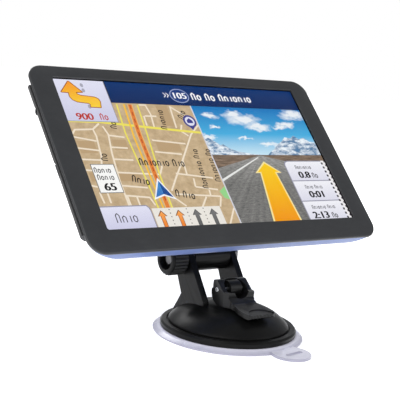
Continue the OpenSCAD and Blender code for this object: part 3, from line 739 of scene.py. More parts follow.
def front_frame_rings():
    """The front frame's section, carried round the outline."""
    rings = [ring(FACE_W, FACE_H, FACE_R, LIP)]
    for angle in quarter(6):
        inset = EDGE * (1 - math.cos(angle))
        depth = SLOPE_DROP + EDGE * (1 - math.sin(angle))
        rings.append(ring(FACE_W - inset, FACE_H - inset, FACE_R - inset, depth))
    rings.append(ring(FACE_W - SLOPE_WIDTH, FACE_H - SLOPE_WIDTH, FACE_R - SLOPE_WIDTH, 0.0))
    for angle in quarter(4):
        inset = INNER_EDGE * (1 - math.sin(angle))
        depth = INNER_EDGE * (1 - math.cos(angle))
        rings.append(ring(VIEW_W + inset, VIEW_H + inset, VIEW_R + inset, depth, VIEW_UP))
    rings.append(ring(VIEW_W, VIEW_H, VIEW_R, STEP, VIEW_UP))
    for depth in (STEP, LIP):
        rings.append(ring(VIEW_W + REBATE, VIEW_H + REBATE, VIEW_R + 0.2, depth, VIEW_UP))
    return rings


front_frame = loft("front_frame", front_frame_rings())
shade(front_frame.data, 40)
register(front_frame, "front_bezel", BEZEL)
print("front frame faces:", len(front_frame.data.polygons))

# %% [markdown]
# The back shell follows two power curves, the same as in the engineering model: the ends draw in
# early and the long edges late. One loft makes the hollow shell. It starts on the back wall's inner
# side, comes forward inside, turns over the front rim and goes back outside.

# %% Back shell
DEPTH = 13.0
SHELL_FRONT = 1.65
SHELL_W, SHELL_H, SHELL_R = 88.5, 52.8, 8.5
WALL, BACK_WALL = 1.6, 1.8
END_TAPER, END_POWER = 18.5, 1.75
EDGE_TAPER, EDGE_POWER = 12.8, 4.6
SHELL_RINGS = 26


def shell_ring(depth, inset):
    """The back shell's outline at a depth, drawn in by a wall."""
    t = max(0.0, (depth - SHELL_FRONT) / (DEPTH - SHELL_FRONT))
    half_w = SHELL_W - END_TAPER * t ** END_POWER - inset
    half_h = SHELL_H - EDGE_TAPER * t ** EDGE_POWER - inset
    return ring(half_w, half_h, SHELL_R + 6 * t - inset, depth)


def spaced(first, last, count):
    """Depths that crowd together towards the back, where the curve turns fastest."""
    return [first + (last - first) * math.sin(math.pi / 2 * i / count) for i in range(count + 1)]


outside = [shell_ring(depth, 0) for depth in spaced(SHELL_FRONT, DEPTH, SHELL_RINGS)]
rolled = [shell_ring(DEPTH, 0.7), shell_ring(DEPTH, 3.0)]
inside = [shell_ring(depth, WALL) for depth in spaced(SHELL_FRONT, DEPTH - BACK_WALL, SHELL_RINGS)]
uncut_shell = loft("uncut_shell", inside[::-1] + outside + rolled, capped=True)
print("uncut shell faces:", len(uncut_shell.data.polygons))

# %% [markdown]
# On the real shell the openings are left by pins and blocks in the mould. Here they are blocks and
# posts in one cutter mesh, so a single Boolean cuts them all: the speaker slots, the hook and latch
# slots, the screw wells, the key's hole and the notch for the port strip.

# %% Blocks and posts for a cutter
def on_unit(x, depth, up):
    """A matrix that takes millimetres round a point of the unit to the object's frame."""
    return UNIT @ Matrix.Scale(MM, 4) @ Matrix.Translation((x, depth, up))


def add_box(work, x, depth, up):
    """Adds a block to a mesh maker, from three (low, high) pairs in the unit's frame."""
    made = bmesh.ops.create_cube(work, size=1.0)["verts"]
    size = Matrix.Diagonal((x[1] - x[0], depth[1] - depth[0], up[1] - up[0], 1.0))
    place = on_unit(*((low + high) / 2 for low, high in (x, depth, up)))
    bmesh.ops.transform(work, matrix=place @ size, verts=made)


def add_post(work, x, up, radius, depth):
    """Adds a round post to a mesh maker, along the unit's depth."""
    made = bmesh.ops.create_cone(
        work, cap_ends=True, segments=32, radius1=radius, radius2=radius, depth=depth[1] - depth[0]
    )["verts"]
    turn = Matrix.Rotation(math.radians(-90), 4, "X")
    bmesh.ops.transform(work, matrix=on_unit(x, (depth[0] + depth[1]) / 2, up) @ turn, verts=made)


def unit_box(cad_node):
    """A CAD node's low and high corners in the unit's frame, in millimetres."""
    source = frame["nodes"][cad_node]
    turn = UNIT.inverted() @ source.matrix_world
    points = [(turn @ vertex.co) / MM for vertex in source.data.vertices]
    low = Vector([min(p[i] for p in points) for i in range(3)])
    high = Vector([max(p[i] for p in points) for i in range(3)])
    return low, high


strip_low, strip_high = unit_box("side_cover")
print("port strip from", round(strip_low.z, 2), "to", round(strip_high.z, 2), "mm")

# %% [markdown]
# The places come from the engineering model. The notch takes its length from the port strip's own
# box, so both always agree, and the speaker's slots get shorter towards the edge of a circle.

# %% The cutter for the back shell
BACK = (DEPTH - 3.0, DEPTH + 1.0)
NOTCH_CLEARANCE = 0.05
KEY_HOLE = ((-34.6, -25.4), (5.2, 7.8), (45, 60))
LATCH_SLOT = ((-6.8, 6.8), BACK, (27.1, 30.3))
HOOK_X, HOOK_HALF, HOOK_UP = 22, 3.8, (-23, -17.2)
SCREW_X, SCREW_UP, SCREW_R, SCREW_DEPTH = 58.0, 32.0, 2.2, (DEPTH - 1.5, DEPTH + 1)
SPEAKER_X, SPEAKER_UP, SPEAKER_R = 40.0, -27.0, 10.0
SLOT_PITCH, SLOT_HALF = 2.6, 0.6


def cutter_mesh():
    """Everything that is cut from the back shell."""
    work = bmesh.new()
    strip_length = (strip_low.z - NOTCH_CLEARANCE, strip_high.z + NOTCH_CLEARANCE)
    add_box(work, (-100, -82.85), (0, 6.8), strip_length)
    add_box(work, *KEY_HOLE)
    for row in range(-3, 4):
        half = math.sqrt(SPEAKER_R ** 2 - (SLOT_PITCH * row) ** 2)
        up = SPEAKER_UP + SLOT_PITCH * row
        add_box(work, (SPEAKER_X - half, SPEAKER_X + half), BACK, (up - SLOT_HALF, up + SLOT_HALF))
    for side in (-1, 1):
        add_box(work, (side * HOOK_X - HOOK_HALF, side * HOOK_X + HOOK_HALF), BACK, HOOK_UP)
        for level in (-1, 1):
            add_post(work, side * SCREW_X, level * SCREW_UP, SCREW_R, SCREW_DEPTH)
    add_box(work, *LATCH_SLOT)
    mesh = bpy.data.meshes.new("cutter")
    work.to_mesh(mesh)
    work.free()
    return mesh


cutter = new_object("cutter", cutter_mesh())
print("cutter corners:", len(cutter.data.vertices))

# %% [markdown]
# The Boolean is carried out at once and its result kept as a plain mesh. Smooth shading with sharp
# edges at steep angles keeps the long curves soft and the slots crisp.

# %% Cut the openings and finish the shell
def evaluated_mesh(piece):
    """A piece's mesh with its modifiers carried out."""
    piece_now = piece.evaluated_get(bpy.context.evaluated_depsgraph_get())
    return bpy.data.meshes.new_from_object(piece_now)


cut = uncut_shell.modifiers.new("Openings", "BOOLEAN")
cut.object = cutter
cut.operation = "DIFFERENCE"
cut.solver = "EXACT"
shell_mesh = evaluated_mesh(uncut_shell)
bpy.data.objects.remove(uncut_shell)
bpy.data.objects.remove(cutter)
back_shell = new_object("back_shell", shell_mesh)
shade(shell_mesh, 28)
register(back_shell, "rear_shell", SHELL)
print("back shell faces:", len(shell_mesh.polygons))

# %% [markdown]
# ## The lit picture
# A navigator is dull without its picture. The picture is flat coloured shapes in thin layers between
# the display panel and the glass, drawn in millimetres from the picture's top left corner. Every
# shape's colour is stored in an attribute, so one glowing material serves them all.

# %% A sheet that collects flat coloured shapes
PICTURE_DEPTH = 1.99
LAYER = 0.012


class Sheet:
    """Collects flat shapes with their colours, on layers that lie one over the other."""

    def __init__(self, name, layer=0):
        self.name = name
        self.points = []
        self.faces = []
        self.colours = []
        self.layer = layer

    def place(self, x, y):
        """A point of the picture on the current layer, in the object's frame."""
        depth = PICTURE_DEPTH - self.layer * LAYER
        return UNIT @ Vector(((x - VIEW_W) * MM, depth * MM, (VIEW_H - y + VIEW_UP) * MM))

    def shape(self, corners, colour, second=None):
        """A flat shape. With a second colour it fades from its top to its bottom."""
        top = min(y for x, y in corners)
        deep = max(max(y for x, y in corners) - top, 0.001)
        start = len(self.points)
        for x, y in corners:
            share = (y - top) / deep
            tone = colour if second is None else tuple(a + (b - a) * share for a, b in zip(colour, second))
            self.points.append((x, y, self.place(x, y)))
            self.colours.append(tone)
        self.faces.append(list(range(start, start + len(corners))))

    def box(self, x0, y0, x1, y1, colour, second=None):
        """A plain rectangle."""
        self.shape([(x0, y0), (x1, y0), (x1, y1), (x0, y1)], colour, second)

    def disc(self, x, y, radius, colour, sides=20, squash=1.0):
        """A round or oval dot."""
        turns = [2 * math.pi * i / sides for i in range(sides)]
        self.shape([(x + radius * math.cos(a), y + squash * radius * math.sin(a)) for a in turns], colour)

    def line(self, corners, width, colour):
        """A line of even width through some corners, with round joints."""
        for (x0, y0), (x1, y1) in zip(corners, corners[1:]):
            run = math.hypot(x1 - x0, y1 - y0)
            nx, ny = -(y1 - y0) / run * width / 2, (x1 - x0) / run * width / 2
            self.shape([
                (x0 + nx, y0 + ny), (x1 + nx, y1 + ny), (x1 - nx, y1 - ny), (x0 - nx, y0 - ny),
            ], colour)
        for x, y in corners[1:-1]:
            self.disc(x, y, width / 2, colour, 10)


print("picture size in mm:", 2 * VIEW_W, "by", 2 * VIEW_H)

# %% [markdown]
# Words are left out. Short rows of arches, rings and bars stand for them, with a taller mark at the
# start of each, so the picture keeps the rhythm of print. Plain figures come from a text object made
# into a mesh. They are struck three times with a small shift, because that makes them bold.

# %% Marks that stand for words, and plain figures
FIGURE_WIDTH = 1.14
FIGURE_SHARE = 0.7
LOW_MARK = 0.7
STRIKE = 0.1


def words(sheet, x, y, lengths, height, colour, angle=0.0, stroke=0.15, pitch=0.68):
    """Rows of arches, rings and bars that stand for words. x, y is the left end of their foot."""
    cos, sin = math.cos(math.radians(angle)), math.sin(math.radians(angle))
    step = pitch * height
    wide = 0.56 * step
    place = 0.0
    for length in lengths:
        for i in range(length):
            tall = height if i == 0 else LOW_MARK * height
            arch = [(0, 0), (0, -0.8 * tall), (wide / 2, -tall), (wide, -0.8 * tall), (wide, 0)]
            foot = (0, -0.2 * tall)
            loop = [foot] + arch[1:4] + [(wide, -0.2 * tall), (wide / 2, 0), foot]
            bar = [(wide / 2, 0), (wide / 2, -tall)]
            kind = (2 * i + length) % 3 if i else 0
            corners = (arch, loop, bar)[kind]
            turned = [
                (x + (place + a) * cos - b * sin, y + (place + a) * sin + b * cos) for a, b in corners
            ]
            sheet.line(turned, stroke * height, colour)
            place += step * (0.75 if kind == 2 else 1.0)
        place += 0.6 * step


def figures(sheet, text, x, y, height, colour, bold):
    """Plain figures, struck three times. x, y is the left end of their foot."""
    curve = bpy.data.curves.new("figures", "FONT")
    curve.body = text
    curve.size = height / FIGURE_SHARE
    holder = bpy.data.objects.new("figures", curve)
    bpy.context.collection.objects.link(holder)
    flat = evaluated_mesh(holder)
    for shift in (-bold, 0.0, bold):
        start = len(sheet.points)
        for vertex in flat.vertices:
            px, py = x + shift + FIGURE_WIDTH * vertex.co.x, y - vertex.co.y
            sheet.points.append((px, py, sheet.place(px, py)))
            sheet.colours.append(colour)
        sheet.faces.extend([[start + v for v in face.vertices] for face in flat.polygons])
        sheet.layer += STRIKE
    sheet.layer -= 3 * STRIKE
    bpy.data.objects.remove(holder)
    bpy.data.meshes.remove(flat)


print("figures are", FIGURE_WIDTH, "times as wide as the font's own")

# %% [markdown]
# A finished sheet becomes one mesh on the display panel's body. Its faces are turned to the viewer,
# the colours go into an attribute, and one UV map covers the whole picture, so that the textures of
# different sheets fit together.

# %% From a sheet to a piece
def finished(sheet, material):
    """Makes the sheet's mesh, with its colours and its UV map, and registers it."""
    mesh = bpy.data.meshes.new(sheet.name)
    mesh.from_pydata([place for x, y, place in sheet.points], [], sheet.faces)
    paint = mesh.color_attributes.new("paint", "FLOAT_COLOR", "POINT")
    for entry, colour in zip(paint.data, sheet.colours):
        entry.color = colour
    uv = mesh.uv_layers.new(name="picture")
    for loop in mesh.loops:
        x, y, place = sheet.points[loop.vertex_index]
        uv.data[loop.index].uv = (x / (2 * VIEW_W), 1 - y / (2 * VIEW_H))
    work = bmesh.new()
    work.from_mesh(mesh)
    for face in work.faces:
        face.normal_update()
        if face.normal.dot(into_unit) > 0:
            face.normal_flip()
    work.to_mesh(mesh)
    work.free()
    print(sheet.name, "has", len(mesh.polygons), "faces")
    return register(new_object(sheet.name, mesh), "lcd_panel", material, replaces=False)


# %% [markdown]
# A display panel gives off its own light, so its materials are dark surfaces with emission. The first
# one reads the painted colours and multiplies them with a faint brick pattern, which stands for the
# panel's fine rows of picture cells.

# %% Surfaces that glow, and the one that reads the paint
def glowing(name):
    """A dark surface that only gives off light, with its tree, ready for a colour."""
    return new_finish(
        name, Base_Color=(0.01, 0.01, 0.01, 1), Roughness=0.6, Specular_IOR_Level=0.0, Emission_Strength=1.0
    )


PAINT, paint_tree, paint_shader = glowing("Picture paint")
paint_colour = node(paint_tree, "ShaderNodeVertexColor", layer_name="paint")
paint_cells = node(paint_tree, "ShaderNodeTexBrick", Scale=160.0, Mortar_Size=0.02)
paint_cells.inputs["Color1"].default_value = (1, 1, 1, 1)
paint_cells.inputs["Color2"].default_value = (0.97, 0.97, 0.97, 1)
paint_cells.inputs["Mortar"].default_value = (0.93, 0.93, 0.93, 1)
paint_uv = node(paint_tree, "ShaderNodeUVMap", uv_map="picture")
paint_mix = node(paint_tree, "ShaderNodeMix", data_type="RGBA", blend_type="MULTIPLY")
paint_mix.inputs[0].default_value = 1.0
wire(paint_tree, paint_uv, "UV", paint_cells, "Vector")
wire(paint_tree, paint_colour, "Color", paint_mix, 6)
wire(paint_tree, paint_cells, "Color", paint_mix, 7)
wire(paint_tree, paint_mix, 2, paint_shader, "Emission Color")
print("rows of cells across the picture:", paint_cells.inputs["Scale"].default_value)

# %% [markdown]
# ## The map, on the left half
# Darker blocks, a green park and pale streets in a slightly turned grid lie over the ground, which is
# a sheet of its own further on. The layers go from the ground up, so nothing hides wrongly.

# %% Ground and streets
STREET, STREET_WIDTH = linear(240, 226, 204), 0.95
BLOCK, PARK = linear(188, 160, 122), linear(150, 214, 140)
MAP_TOP = 13.3
BOTTOM = 2 * VIEW_H

map_sheet = Sheet("map_picture", 1)
for corners in (
    (2, 37, 11, 44), (21, 36, 29, 42), (46, 37, 60, 43), (55, 14, 62, 27), (2, 55, 30, 60),
):
    map_sheet.box(*corners, BLOCK)
map_sheet.shape([(72.5, 67), (77, 64), (77, 72), (74, 71)], PARK)
map_sheet.layer = 2
STREETS = (
    [(0, 34), (3, 30.5), (13, 30), (17.5, 26.5)],
    [(13, 30.5), (13.5, 34), (12, 46), (10, 52)],
    [(19, 28), (20.5, 33), (18.5, 44), (17, 60), (17, 75)],
    [(0, 34.5), (12.5, 37)], [(0, 41), (12, 42.5)], [(0, 47.5), (11, 48)],
    [(20.5, 33.5), (29, 34.5)], [(19.5, 40.5), (28.5, 41)], [(18.5, 47.5), (29, 48)],
    [(0, 53.5), (16, 55), (41, 56.5), (44, 52), (43.5, 48)],
    [(44.5, 36), (64, 38)], [(43.5, 43), (59, 44.5)],
    [(45, 14), (49, 14), (50, 20), (49, 28)], [(46, 21), (53, 21)], [(45, 27), (45.5, 21)],
    [(64, 14), (62.5, 28)], [(64, 14.5), (71, 20)],
    [(77, 26), (70, 32), (58, 48), (50, 58), (44, 66)],
    [(50.5, 56), (72, 59)], [(58, 48), (57, 56.5)], [(59, 64), (72, 66)], [(59, 64), (60, 59)],
    [(46, 68), (66, 69.5), (66.5, 66)], [(66, 69.5), (72, 70)], [(63, 70), (58, 76)],
    [(72, 70), (69, 76)], [(77, 77), (70, BOTTOM)], [(66.5, 26), (64.5, 30), (68, 33)],
    [(0, 62), (4, 63)], [(17, 62.5), (31, 64)], [(17, 68), (30, 69.5), (31.5, 74)],
    [(4, 66), (4.5, 72)], [(8, 66), (8, 72)], [(18, 68), (18, 74)], [(23, 69), (23, 74)],
    [(44, 70), (49, 75)],
)
for street in STREETS:
    map_sheet.line(street, STREET_WIDTH, STREET)
print("streets:", len(STREETS))

# %% [markdown]
# Main roads are wider than streets and lie over them. The route is three layers: a cream edge, an
# orange core and a dashed darker middle line, so it stays the strongest line of the map.

# %% Main roads and the route
YELLOW, GOLD = linear(238, 226, 96), linear(250, 196, 60)
ROUTE = [(39.6, 14), (38.3, 32), (38, 60), (38, 76)]
ROUTE_COATS = ((3.0, linear(238, 196, 120)), (2.2, linear(226, 128, 58)))
DASH, DASH_COUNT, DASH_PITCH, DASH_LENGTH = linear(186, 74, 36), 14, 4.2, 2.4

map_sheet.layer = 3
map_sheet.line([(0, 25.3), (18, 25.5), (40, 27.6), (60, 29.4), (77, 30.8)], 1.4, YELLOW)
map_sheet.layer = 4
map_sheet.line([(32, 14), (30.5, 32), (32, 60), (32.5, 76)], 0.9, YELLOW)
map_sheet.line([(44.2, 14), (43, 32), (40.8, 56), (40.3, 76)], 0.9, YELLOW)
map_sheet.line([(36.2, 14), (34.6, 34), (35, 60), (35.2, 76)], 1.0, GOLD)
for width, colour in ROUTE_COATS:
    map_sheet.layer += 1
    map_sheet.line(ROUTE, width, colour)
map_sheet.layer = 7
for step in range(DASH_COUNT):
    y = 14.5 + DASH_PITCH * step
    x = 39.6 - 1.3 * min(1.0, (y - 14) / 18)
    map_sheet.line([(x, y), (x - 0.1, y + DASH_LENGTH)], 0.55, DASH)
print("route coats:", len(ROUTE_COATS), "and dashes:", DASH_COUNT)

# %% [markdown]
# Street names turn with their streets, so each row of marks has its own angle. The blue arrow that
# shows the car has a light and a dark half, like a folded paper dart, and a white edge round it.

# %% Street names as rows of marks, the pin and the arrow that shows the car
INK, PIN, PIN_FACE = linear(38, 34, 32), linear(62, 62, 140), linear(226, 226, 244)
STREET_NAMES = (
    (32, 51, (7, 3), 4.0, 2), (24, 60.4, (4,), 3.9, 14), (45.4, 69.2, (1, 3), 3.9, 11),
    (14.4, 52, (1, 2), 3.4, -84), (26.6, 29.4, (2,), 3.4, -80), (56.4, 29, (6,), 3.4, -82),
    (66.6, 65, (8, 3), 3.3, -83), (76, 61, (7, 2), 3.3, -86), (69, 22.5, (3,), 3.4, -54),
)
for x, y, lengths, height, angle in STREET_NAMES:
    words(map_sheet, x, y, lengths, height, INK, angle)
map_sheet.layer = 8
map_sheet.disc(72.7, 23.6, 4.0, PIN)
map_sheet.shape([(70.5, 26.5), (74.9, 26.5), (72.7, 29.2)], PIN)
map_sheet.shape([(38.4, 58.4), (44.8, 71.2), (38.6, 68.8), (32.2, 70.9)], linear(246, 248, 252))
map_sheet.layer = 9
map_sheet.disc(72.7, 23.6, 2.9, PIN_FACE)
map_sheet.shape([(38.4, 60.2), (38.6, 67.9), (33.5, 69.6)], linear(78, 150, 214), linear(46, 112, 190))
map_sheet.shape([(38.4, 60.2), (43.6, 69.9), (38.6, 67.9)], linear(34, 92, 168), linear(18, 62, 134))
map_sheet.layer = 10
map_sheet.shape([(70.9, 24.8), (70.9, 23.2), (72.7, 21.6), (74.5, 23.2), (74.5, 24.8)], PIN)
print("map shapes:", len(map_sheet.faces))

# %% [markdown]
# Panels lie over the map: the turn panel at the top left, the speed box, the return key and a strip
# of lane arrows. Their soft vertical fades are colours stored at the corners of each shape.

# %% Panels over the map
LILAC_TOP, LILAC_LOW = linear(228, 228, 246), linear(206, 206, 232)
EDGE_GREY = linear(150, 150, 168)
SIGN_INK, RED = linear(50, 50, 52), linear(188, 54, 42)
LANE_ORANGE = (linear(120, 72, 40), linear(250, 168, 87), linear(238, 126, 44))
LANE_GREY = (linear(80, 80, 80), linear(120, 120, 120), linear(96, 96, 96))


def arrow_up(sheet, x, foot, head, reach, colour, second=None):
    """A straight arrow that points up: shaft and head in one outline."""
    neck = head + 1.25 * reach
    half = 0.45 * reach
    sheet.shape([
        (x, head), (x + reach, neck), (x + half, neck), (x + half, foot),
        (x - half, foot), (x - half, neck), (x - reach, neck),
    ], colour, second)


map_sheet.layer = 8
map_sheet.box(0, 0, 29.2, 25.6, EDGE_GREY)
map_sheet.shape([(0, 73.6), (26.2, 73.6), (27.6, 75), (28, 77), (28, BOTTOM), (0, BOTTOM)], EDGE_GREY)
map_sheet.box(28.4, 75.6, 68.4, BOTTOM, linear(236, 232, 224))
map_sheet.box(4.2, 50.3, 17, 66.6, linear(120, 118, 116))
map_sheet.layer = 9
map_sheet.box(0, 0, 28.8, 25.2, LILAC_TOP, LILAC_LOW)
map_sheet.shape(
    [(0, 74.2), (25.9, 74.2), (27, 75.4), (27.4, 77), (27.4, BOTTOM), (0, BOTTOM)], LILAC_TOP, LILAC_LOW
)
map_sheet.box(4.6, 50.7, 16.6, 66.2, linear(250, 250, 248))
map_sheet.layer = 10
words(map_sheet, 5.4, 55.2, (5,), 2.9, SIGN_INK)
words(map_sheet, 5.8, 59.2, (5,), 2.9, SIGN_INK)
figures(map_sheet, "65", 7.4, 65.1, 4.1, linear(20, 20, 22), 0.3)
figures(map_sheet, "900", 6.4, 24.4, 3.9, RED, 0.2)
words(map_sheet, 19.8, 24.2, (2,), 3.7, RED)
words(map_sheet, 7.6, 82.6, (4,), 4.9, linear(62, 60, 70), stroke=0.1)
for x in (38, 48, 58):
    for y in (76.6, 78.6, 80.6, 82.6, 84.6):
        map_sheet.disc(x, y, 0.35, linear(110, 108, 104), 8)
for y in (3.2, 6.4, 16.4):
    map_sheet.disc(15.8, y, 0.9, linear(168, 168, 184), 12, 1.4)
for x, (edge, fill, low) in ((33, LANE_ORANGE), (43, LANE_ORANGE), (53, LANE_GREY), (63, LANE_GREY)):
    map_sheet.layer = 10
    arrow_up(map_sheet, x, BOTTOM, 76.8, 2.7, edge)
    map_sheet.layer = 11
    arrow_up(map_sheet, x, BOTTOM, 77.5, 2.1, fill, low)
print("map shapes with panels:", len(map_sheet.faces))

# %% [markdown]
# The next turn is shown by a broad bent arrow. One list of corners serves twice: as a closed outline
# in dark orange, and as a filled shape that fades from orange to yellow.

# %% The turn arrow: an outline, then a fill that fades from orange to yellow
TURN = [
    (9.1, 1.0), (14.7, 7.5), (11.1, 7.8), (11.5, 9.0), (13, 9.7), (20.9, 10.5), (22.4, 11.4),
    (22.9, 13), (22.1, 16.6), (16.6, 16.5), (16.9, 14.9), (16, 14.2), (10, 13.6), (7.8, 12.4),
    (6.9, 10.6), (7.1, 8.1), (3.2, 7.9),
]
map_sheet.layer = 10
map_sheet.line(TURN + TURN[:1], 0.9, linear(158, 74, 20))
map_sheet.layer = 11
map_sheet.shape(TURN, linear(248, 150, 40), linear(252, 212, 58))
finished(map_sheet, PAINT)
print("corners of the turn arrow:", len(TURN))

# %% [markdown]
# ## The road view, on the right half
# The far view is a sky with clouds, snowy hills, brown plains and a straight grey road. Those are
# surfaces with soft texture, so each is its own shape with its own shader on the picture's UV map.

# %% Sky
VIEW_LEFT, HORIZON = 77.6, 46
WHOLE = (1, 1, 1, 1)

SKY, sky_tree, sky_shader = glowing("Picture sky")
sky_uv = node(sky_tree, "ShaderNodeUVMap", uv_map="picture")
sky_split = node(sky_tree, "ShaderNodeSeparateXYZ")
sky_ramp = node(sky_tree, "ShaderNodeValToRGB")
sky_low, sky_high = sky_ramp.color_ramp.elements
sky_low.position, sky_low.color = 0.47, linear(206, 234, 246)
sky_high.position, sky_high.color = 0.84, linear(24, 118, 188)
sky_ramp.color_ramp.elements.new(0.64).color = linear(70, 172, 222)
wire(sky_tree, sky_uv, "UV", sky_split, "Vector")
wire(sky_tree, sky_split, "Y", sky_ramp, "Fac")
sky_wobble = node(sky_tree, "ShaderNodeTexNoise", Scale=26.0, Detail=5.0, Roughness=0.62)
sky_centred = node(sky_tree, "ShaderNodeVectorMath", operation="SUBTRACT")
sky_centred.inputs[1].default_value = (0.5, 0.5, 0.5)
sky_small = node(sky_tree, "ShaderNodeVectorMath", operation="SCALE", Scale=0.09)
sky_moved = node(sky_tree, "ShaderNodeVectorMath", operation="ADD")
wire(sky_tree, sky_uv, "UV", sky_wobble, "Vector")
wire(sky_tree, sky_wobble, "Color", sky_centred, 0)
wire(sky_tree, sky_centred, 0, sky_small, 0)
wire(sky_tree, sky_uv, "UV", sky_moved, 0)
wire(sky_tree, sky_small, 0, sky_moved, 1)
print("sky nodes so far:", len(sky_tree.nodes))

# %% [markdown]
# Each cloud is a soft ball, squashed by its own mapping, and the highest of all balls wins at each
# point. Because they read the wobbled place, their edges come out ragged like real clouds.

# %% Clouds
CLOUDS = (
    (109, 21.5, 15, 4.6), (117, 26, 12, 3.4), (103, 18.5, 9, 3.4), (87, 19.4, 7, 2.0),
    (147, 17.5, 12, 5.0), (139, 24.5, 9, 3.0), (133, 26.5, 6, 2.0), (104, 33.8, 6, 1.2),
    (88, 26.6, 5, 1.2), (151, 38, 8, 3.0), (80, 33.6, 8, 2.2), (120, 38, 9, 1.6),
)
cloud_sum = None
for x, y, wide, tall in CLOUDS:
    spot = node(
        sky_tree, "ShaderNodeMapping", Scale=(2 * VIEW_W / wide, 2 * VIEW_H / tall, 1.0),
        Location=(-x / wide, -(2 * VIEW_H - y) / tall, 0.0),
    )
    puff = node(sky_tree, "ShaderNodeTexGradient", gradient_type="SPHERICAL")
    wire(sky_tree, sky_moved, 0, spot, "Vector")
    wire(sky_tree, spot, "Vector", puff, "Vector")
    if cloud_sum is None:
        cloud_sum = puff.outputs["Fac"]
    else:
        higher = node(sky_tree, "ShaderNodeMath", operation="MAXIMUM")
        sky_tree.links.new(cloud_sum, higher.inputs[0])
        wire(sky_tree, puff, "Fac", higher, 1)
        cloud_sum = higher.outputs[0]
cloud_soft = node(sky_tree, "ShaderNodeMapRange", From_Min=0.1, From_Max=0.62, To_Max=0.95)
sky_mix = node(sky_tree, "ShaderNodeMix", data_type="RGBA")
sky_mix.inputs[7].default_value = linear(238, 242, 246)
sky_tree.links.new(cloud_sum, cloud_soft.inputs["Value"])
wire(sky_tree, cloud_soft, "Result", sky_mix, 0)
wire(sky_tree, sky_ramp, "Color", sky_mix, 6)
wire(sky_tree, sky_mix, 2, sky_shader, "Emission Color")
sky_sheet = Sheet("sky_picture")
sky_sheet.box(VIEW_LEFT, MAP_TOP, 2 * VIEW_W, HORIZON, WHOLE)
finished(sky_sheet, SKY)
print("clouds:", len(CLOUDS))

# %% [markdown]
# Ground, hills, plains and asphalt are all speckled surfaces. One maker mixes two colours by a noise,
# and the stretch of the noise tells them apart: long and flat for plains, nearly even for snow.

# %% Speckled surfaces: ground, hills, plains and asphalt
def speckled(name, dark, light, scale, stretch=(1.0, 1.0, 1.0), contrast=(0.35, 0.65), on_object=False):
    """A glowing surface with two colours mixed by a stretched noise."""
    material, tree, shader = glowing(name)
    if on_object:
        place = node(tree, "ShaderNodeTexCoord")
    else:
        place = node(tree, "ShaderNodeUVMap", uv_map="picture")
    turn = node(tree, "ShaderNodeMapping", Scale=stretch)
    noise = node(tree, "ShaderNodeTexNoise", Scale=scale, Detail=6.0, Roughness=0.7)
    spread = node(tree, "ShaderNodeMapRange", From_Min=contrast[0], From_Max=contrast[1])
    mix = node(tree, "ShaderNodeMix", data_type="RGBA")
    mix.inputs[6].default_value = dark
    mix.inputs[7].default_value = light
    wire(tree, place, "Object" if on_object else "UV", turn, "Vector")
    wire(tree, turn, "Vector", noise, "Vector")
    wire(tree, noise, "Fac", spread, "Value")
    wire(tree, spread, "Result", mix, 0)
    wire(tree, mix, 2, shader, "Emission Color")
    return material


SNOW = speckled(
    "Picture snowy hills", linear(82, 124, 164), linear(236, 243, 249), 26.0, (1.0, 1.2, 1.0), (0.42, 0.6)
)
PLAIN = speckled("Picture plains", linear(84, 70, 60), linear(150, 128, 108), 40.0, (0.5, 3.0, 1.0))
ASPHALT = speckled("Picture asphalt", linear(94, 94, 93), linear(134, 133, 130), 60.0, (1.0, 2.0, 1.0))
GROUND = speckled(
    "Picture ground", linear(178, 153, 118), linear(212, 188, 152), 34.0, (1.0, 0.6, 1.0), (0.3, 0.7)
)
ground_sheet = Sheet("ground_picture")
ground_sheet.box(0, MAP_TOP, VIEW_W, BOTTOM, WHOLE)
finished(ground_sheet, GROUND)
print("speckled:", [surface.name for surface in (SNOW, PLAIN, ASPHALT, GROUND)])

# %% [markdown]
# A road seen at speed has streaks that all run to the point where it meets the horizon, and it pales
# there. An angle round that point drives a one-way noise for the streaks, and the height in the
# picture gives the paleness. Both scale the asphalt's colour.

# %% Streaks on the asphalt
ROAD_END_X, ROAD_END_Y = 110.0, 44.5
PALE_REACH = 0.22


def streaked(material, count, depth, glow):
    """Scales a speckled colour by streaks from the road's far end, and lightens it towards there."""
    tree = material.node_tree
    shader = tree.nodes["Principled BSDF"]
    colour = shader.inputs["Emission Color"].links[0].from_socket
    aspect = VIEW_W / VIEW_H
    end_u, end_v = ROAD_END_X / (2 * VIEW_W), 1 - ROAD_END_Y / (2 * VIEW_H)
    place = node(tree, "ShaderNodeUVMap", uv_map="picture")
    centred = node(
        tree, "ShaderNodeMapping", Scale=(aspect, 1.0, 1.0), Location=(-end_u * aspect, -end_v, 0.0)
    )
    angle = node(tree, "ShaderNodeTexGradient", gradient_type="RADIAL")
    streaks = node(tree, "ShaderNodeTexNoise", noise_dimensions="1D", Scale=count, Detail=3.0)
    light = node(
        tree, "ShaderNodeMapRange", From_Min=0.3, From_Max=0.7, To_Min=1 - depth, To_Max=1 + depth
    )
    split = node(tree, "ShaderNodeSeparateXYZ")
    far = node(
        tree, "ShaderNodeMapRange", From_Min=end_v - PALE_REACH, From_Max=end_v, To_Min=1.0, To_Max=1 + glow
    )
    total = node(tree, "ShaderNodeMath", operation="MULTIPLY")
    scaled = node(tree, "ShaderNodeVectorMath", operation="SCALE")
    wire(tree, place, "UV", centred, "Vector")
    wire(tree, centred, "Vector", angle, "Vector")
    wire(tree, angle, "Fac", streaks, "W")
    wire(tree, streaks, "Fac", light, "Value")
    wire(tree, place, "UV", split, "Vector")
    wire(tree, split, "Y", far, "Value")
    wire(tree, light, "Result", total, 0)
    wire(tree, far, "Result", total, 1)
    tree.links.new(colour, scaled.inputs[0])
    wire(tree, total, 0, scaled, "Scale")
    wire(tree, scaled, 0, shader, "Emission Color")


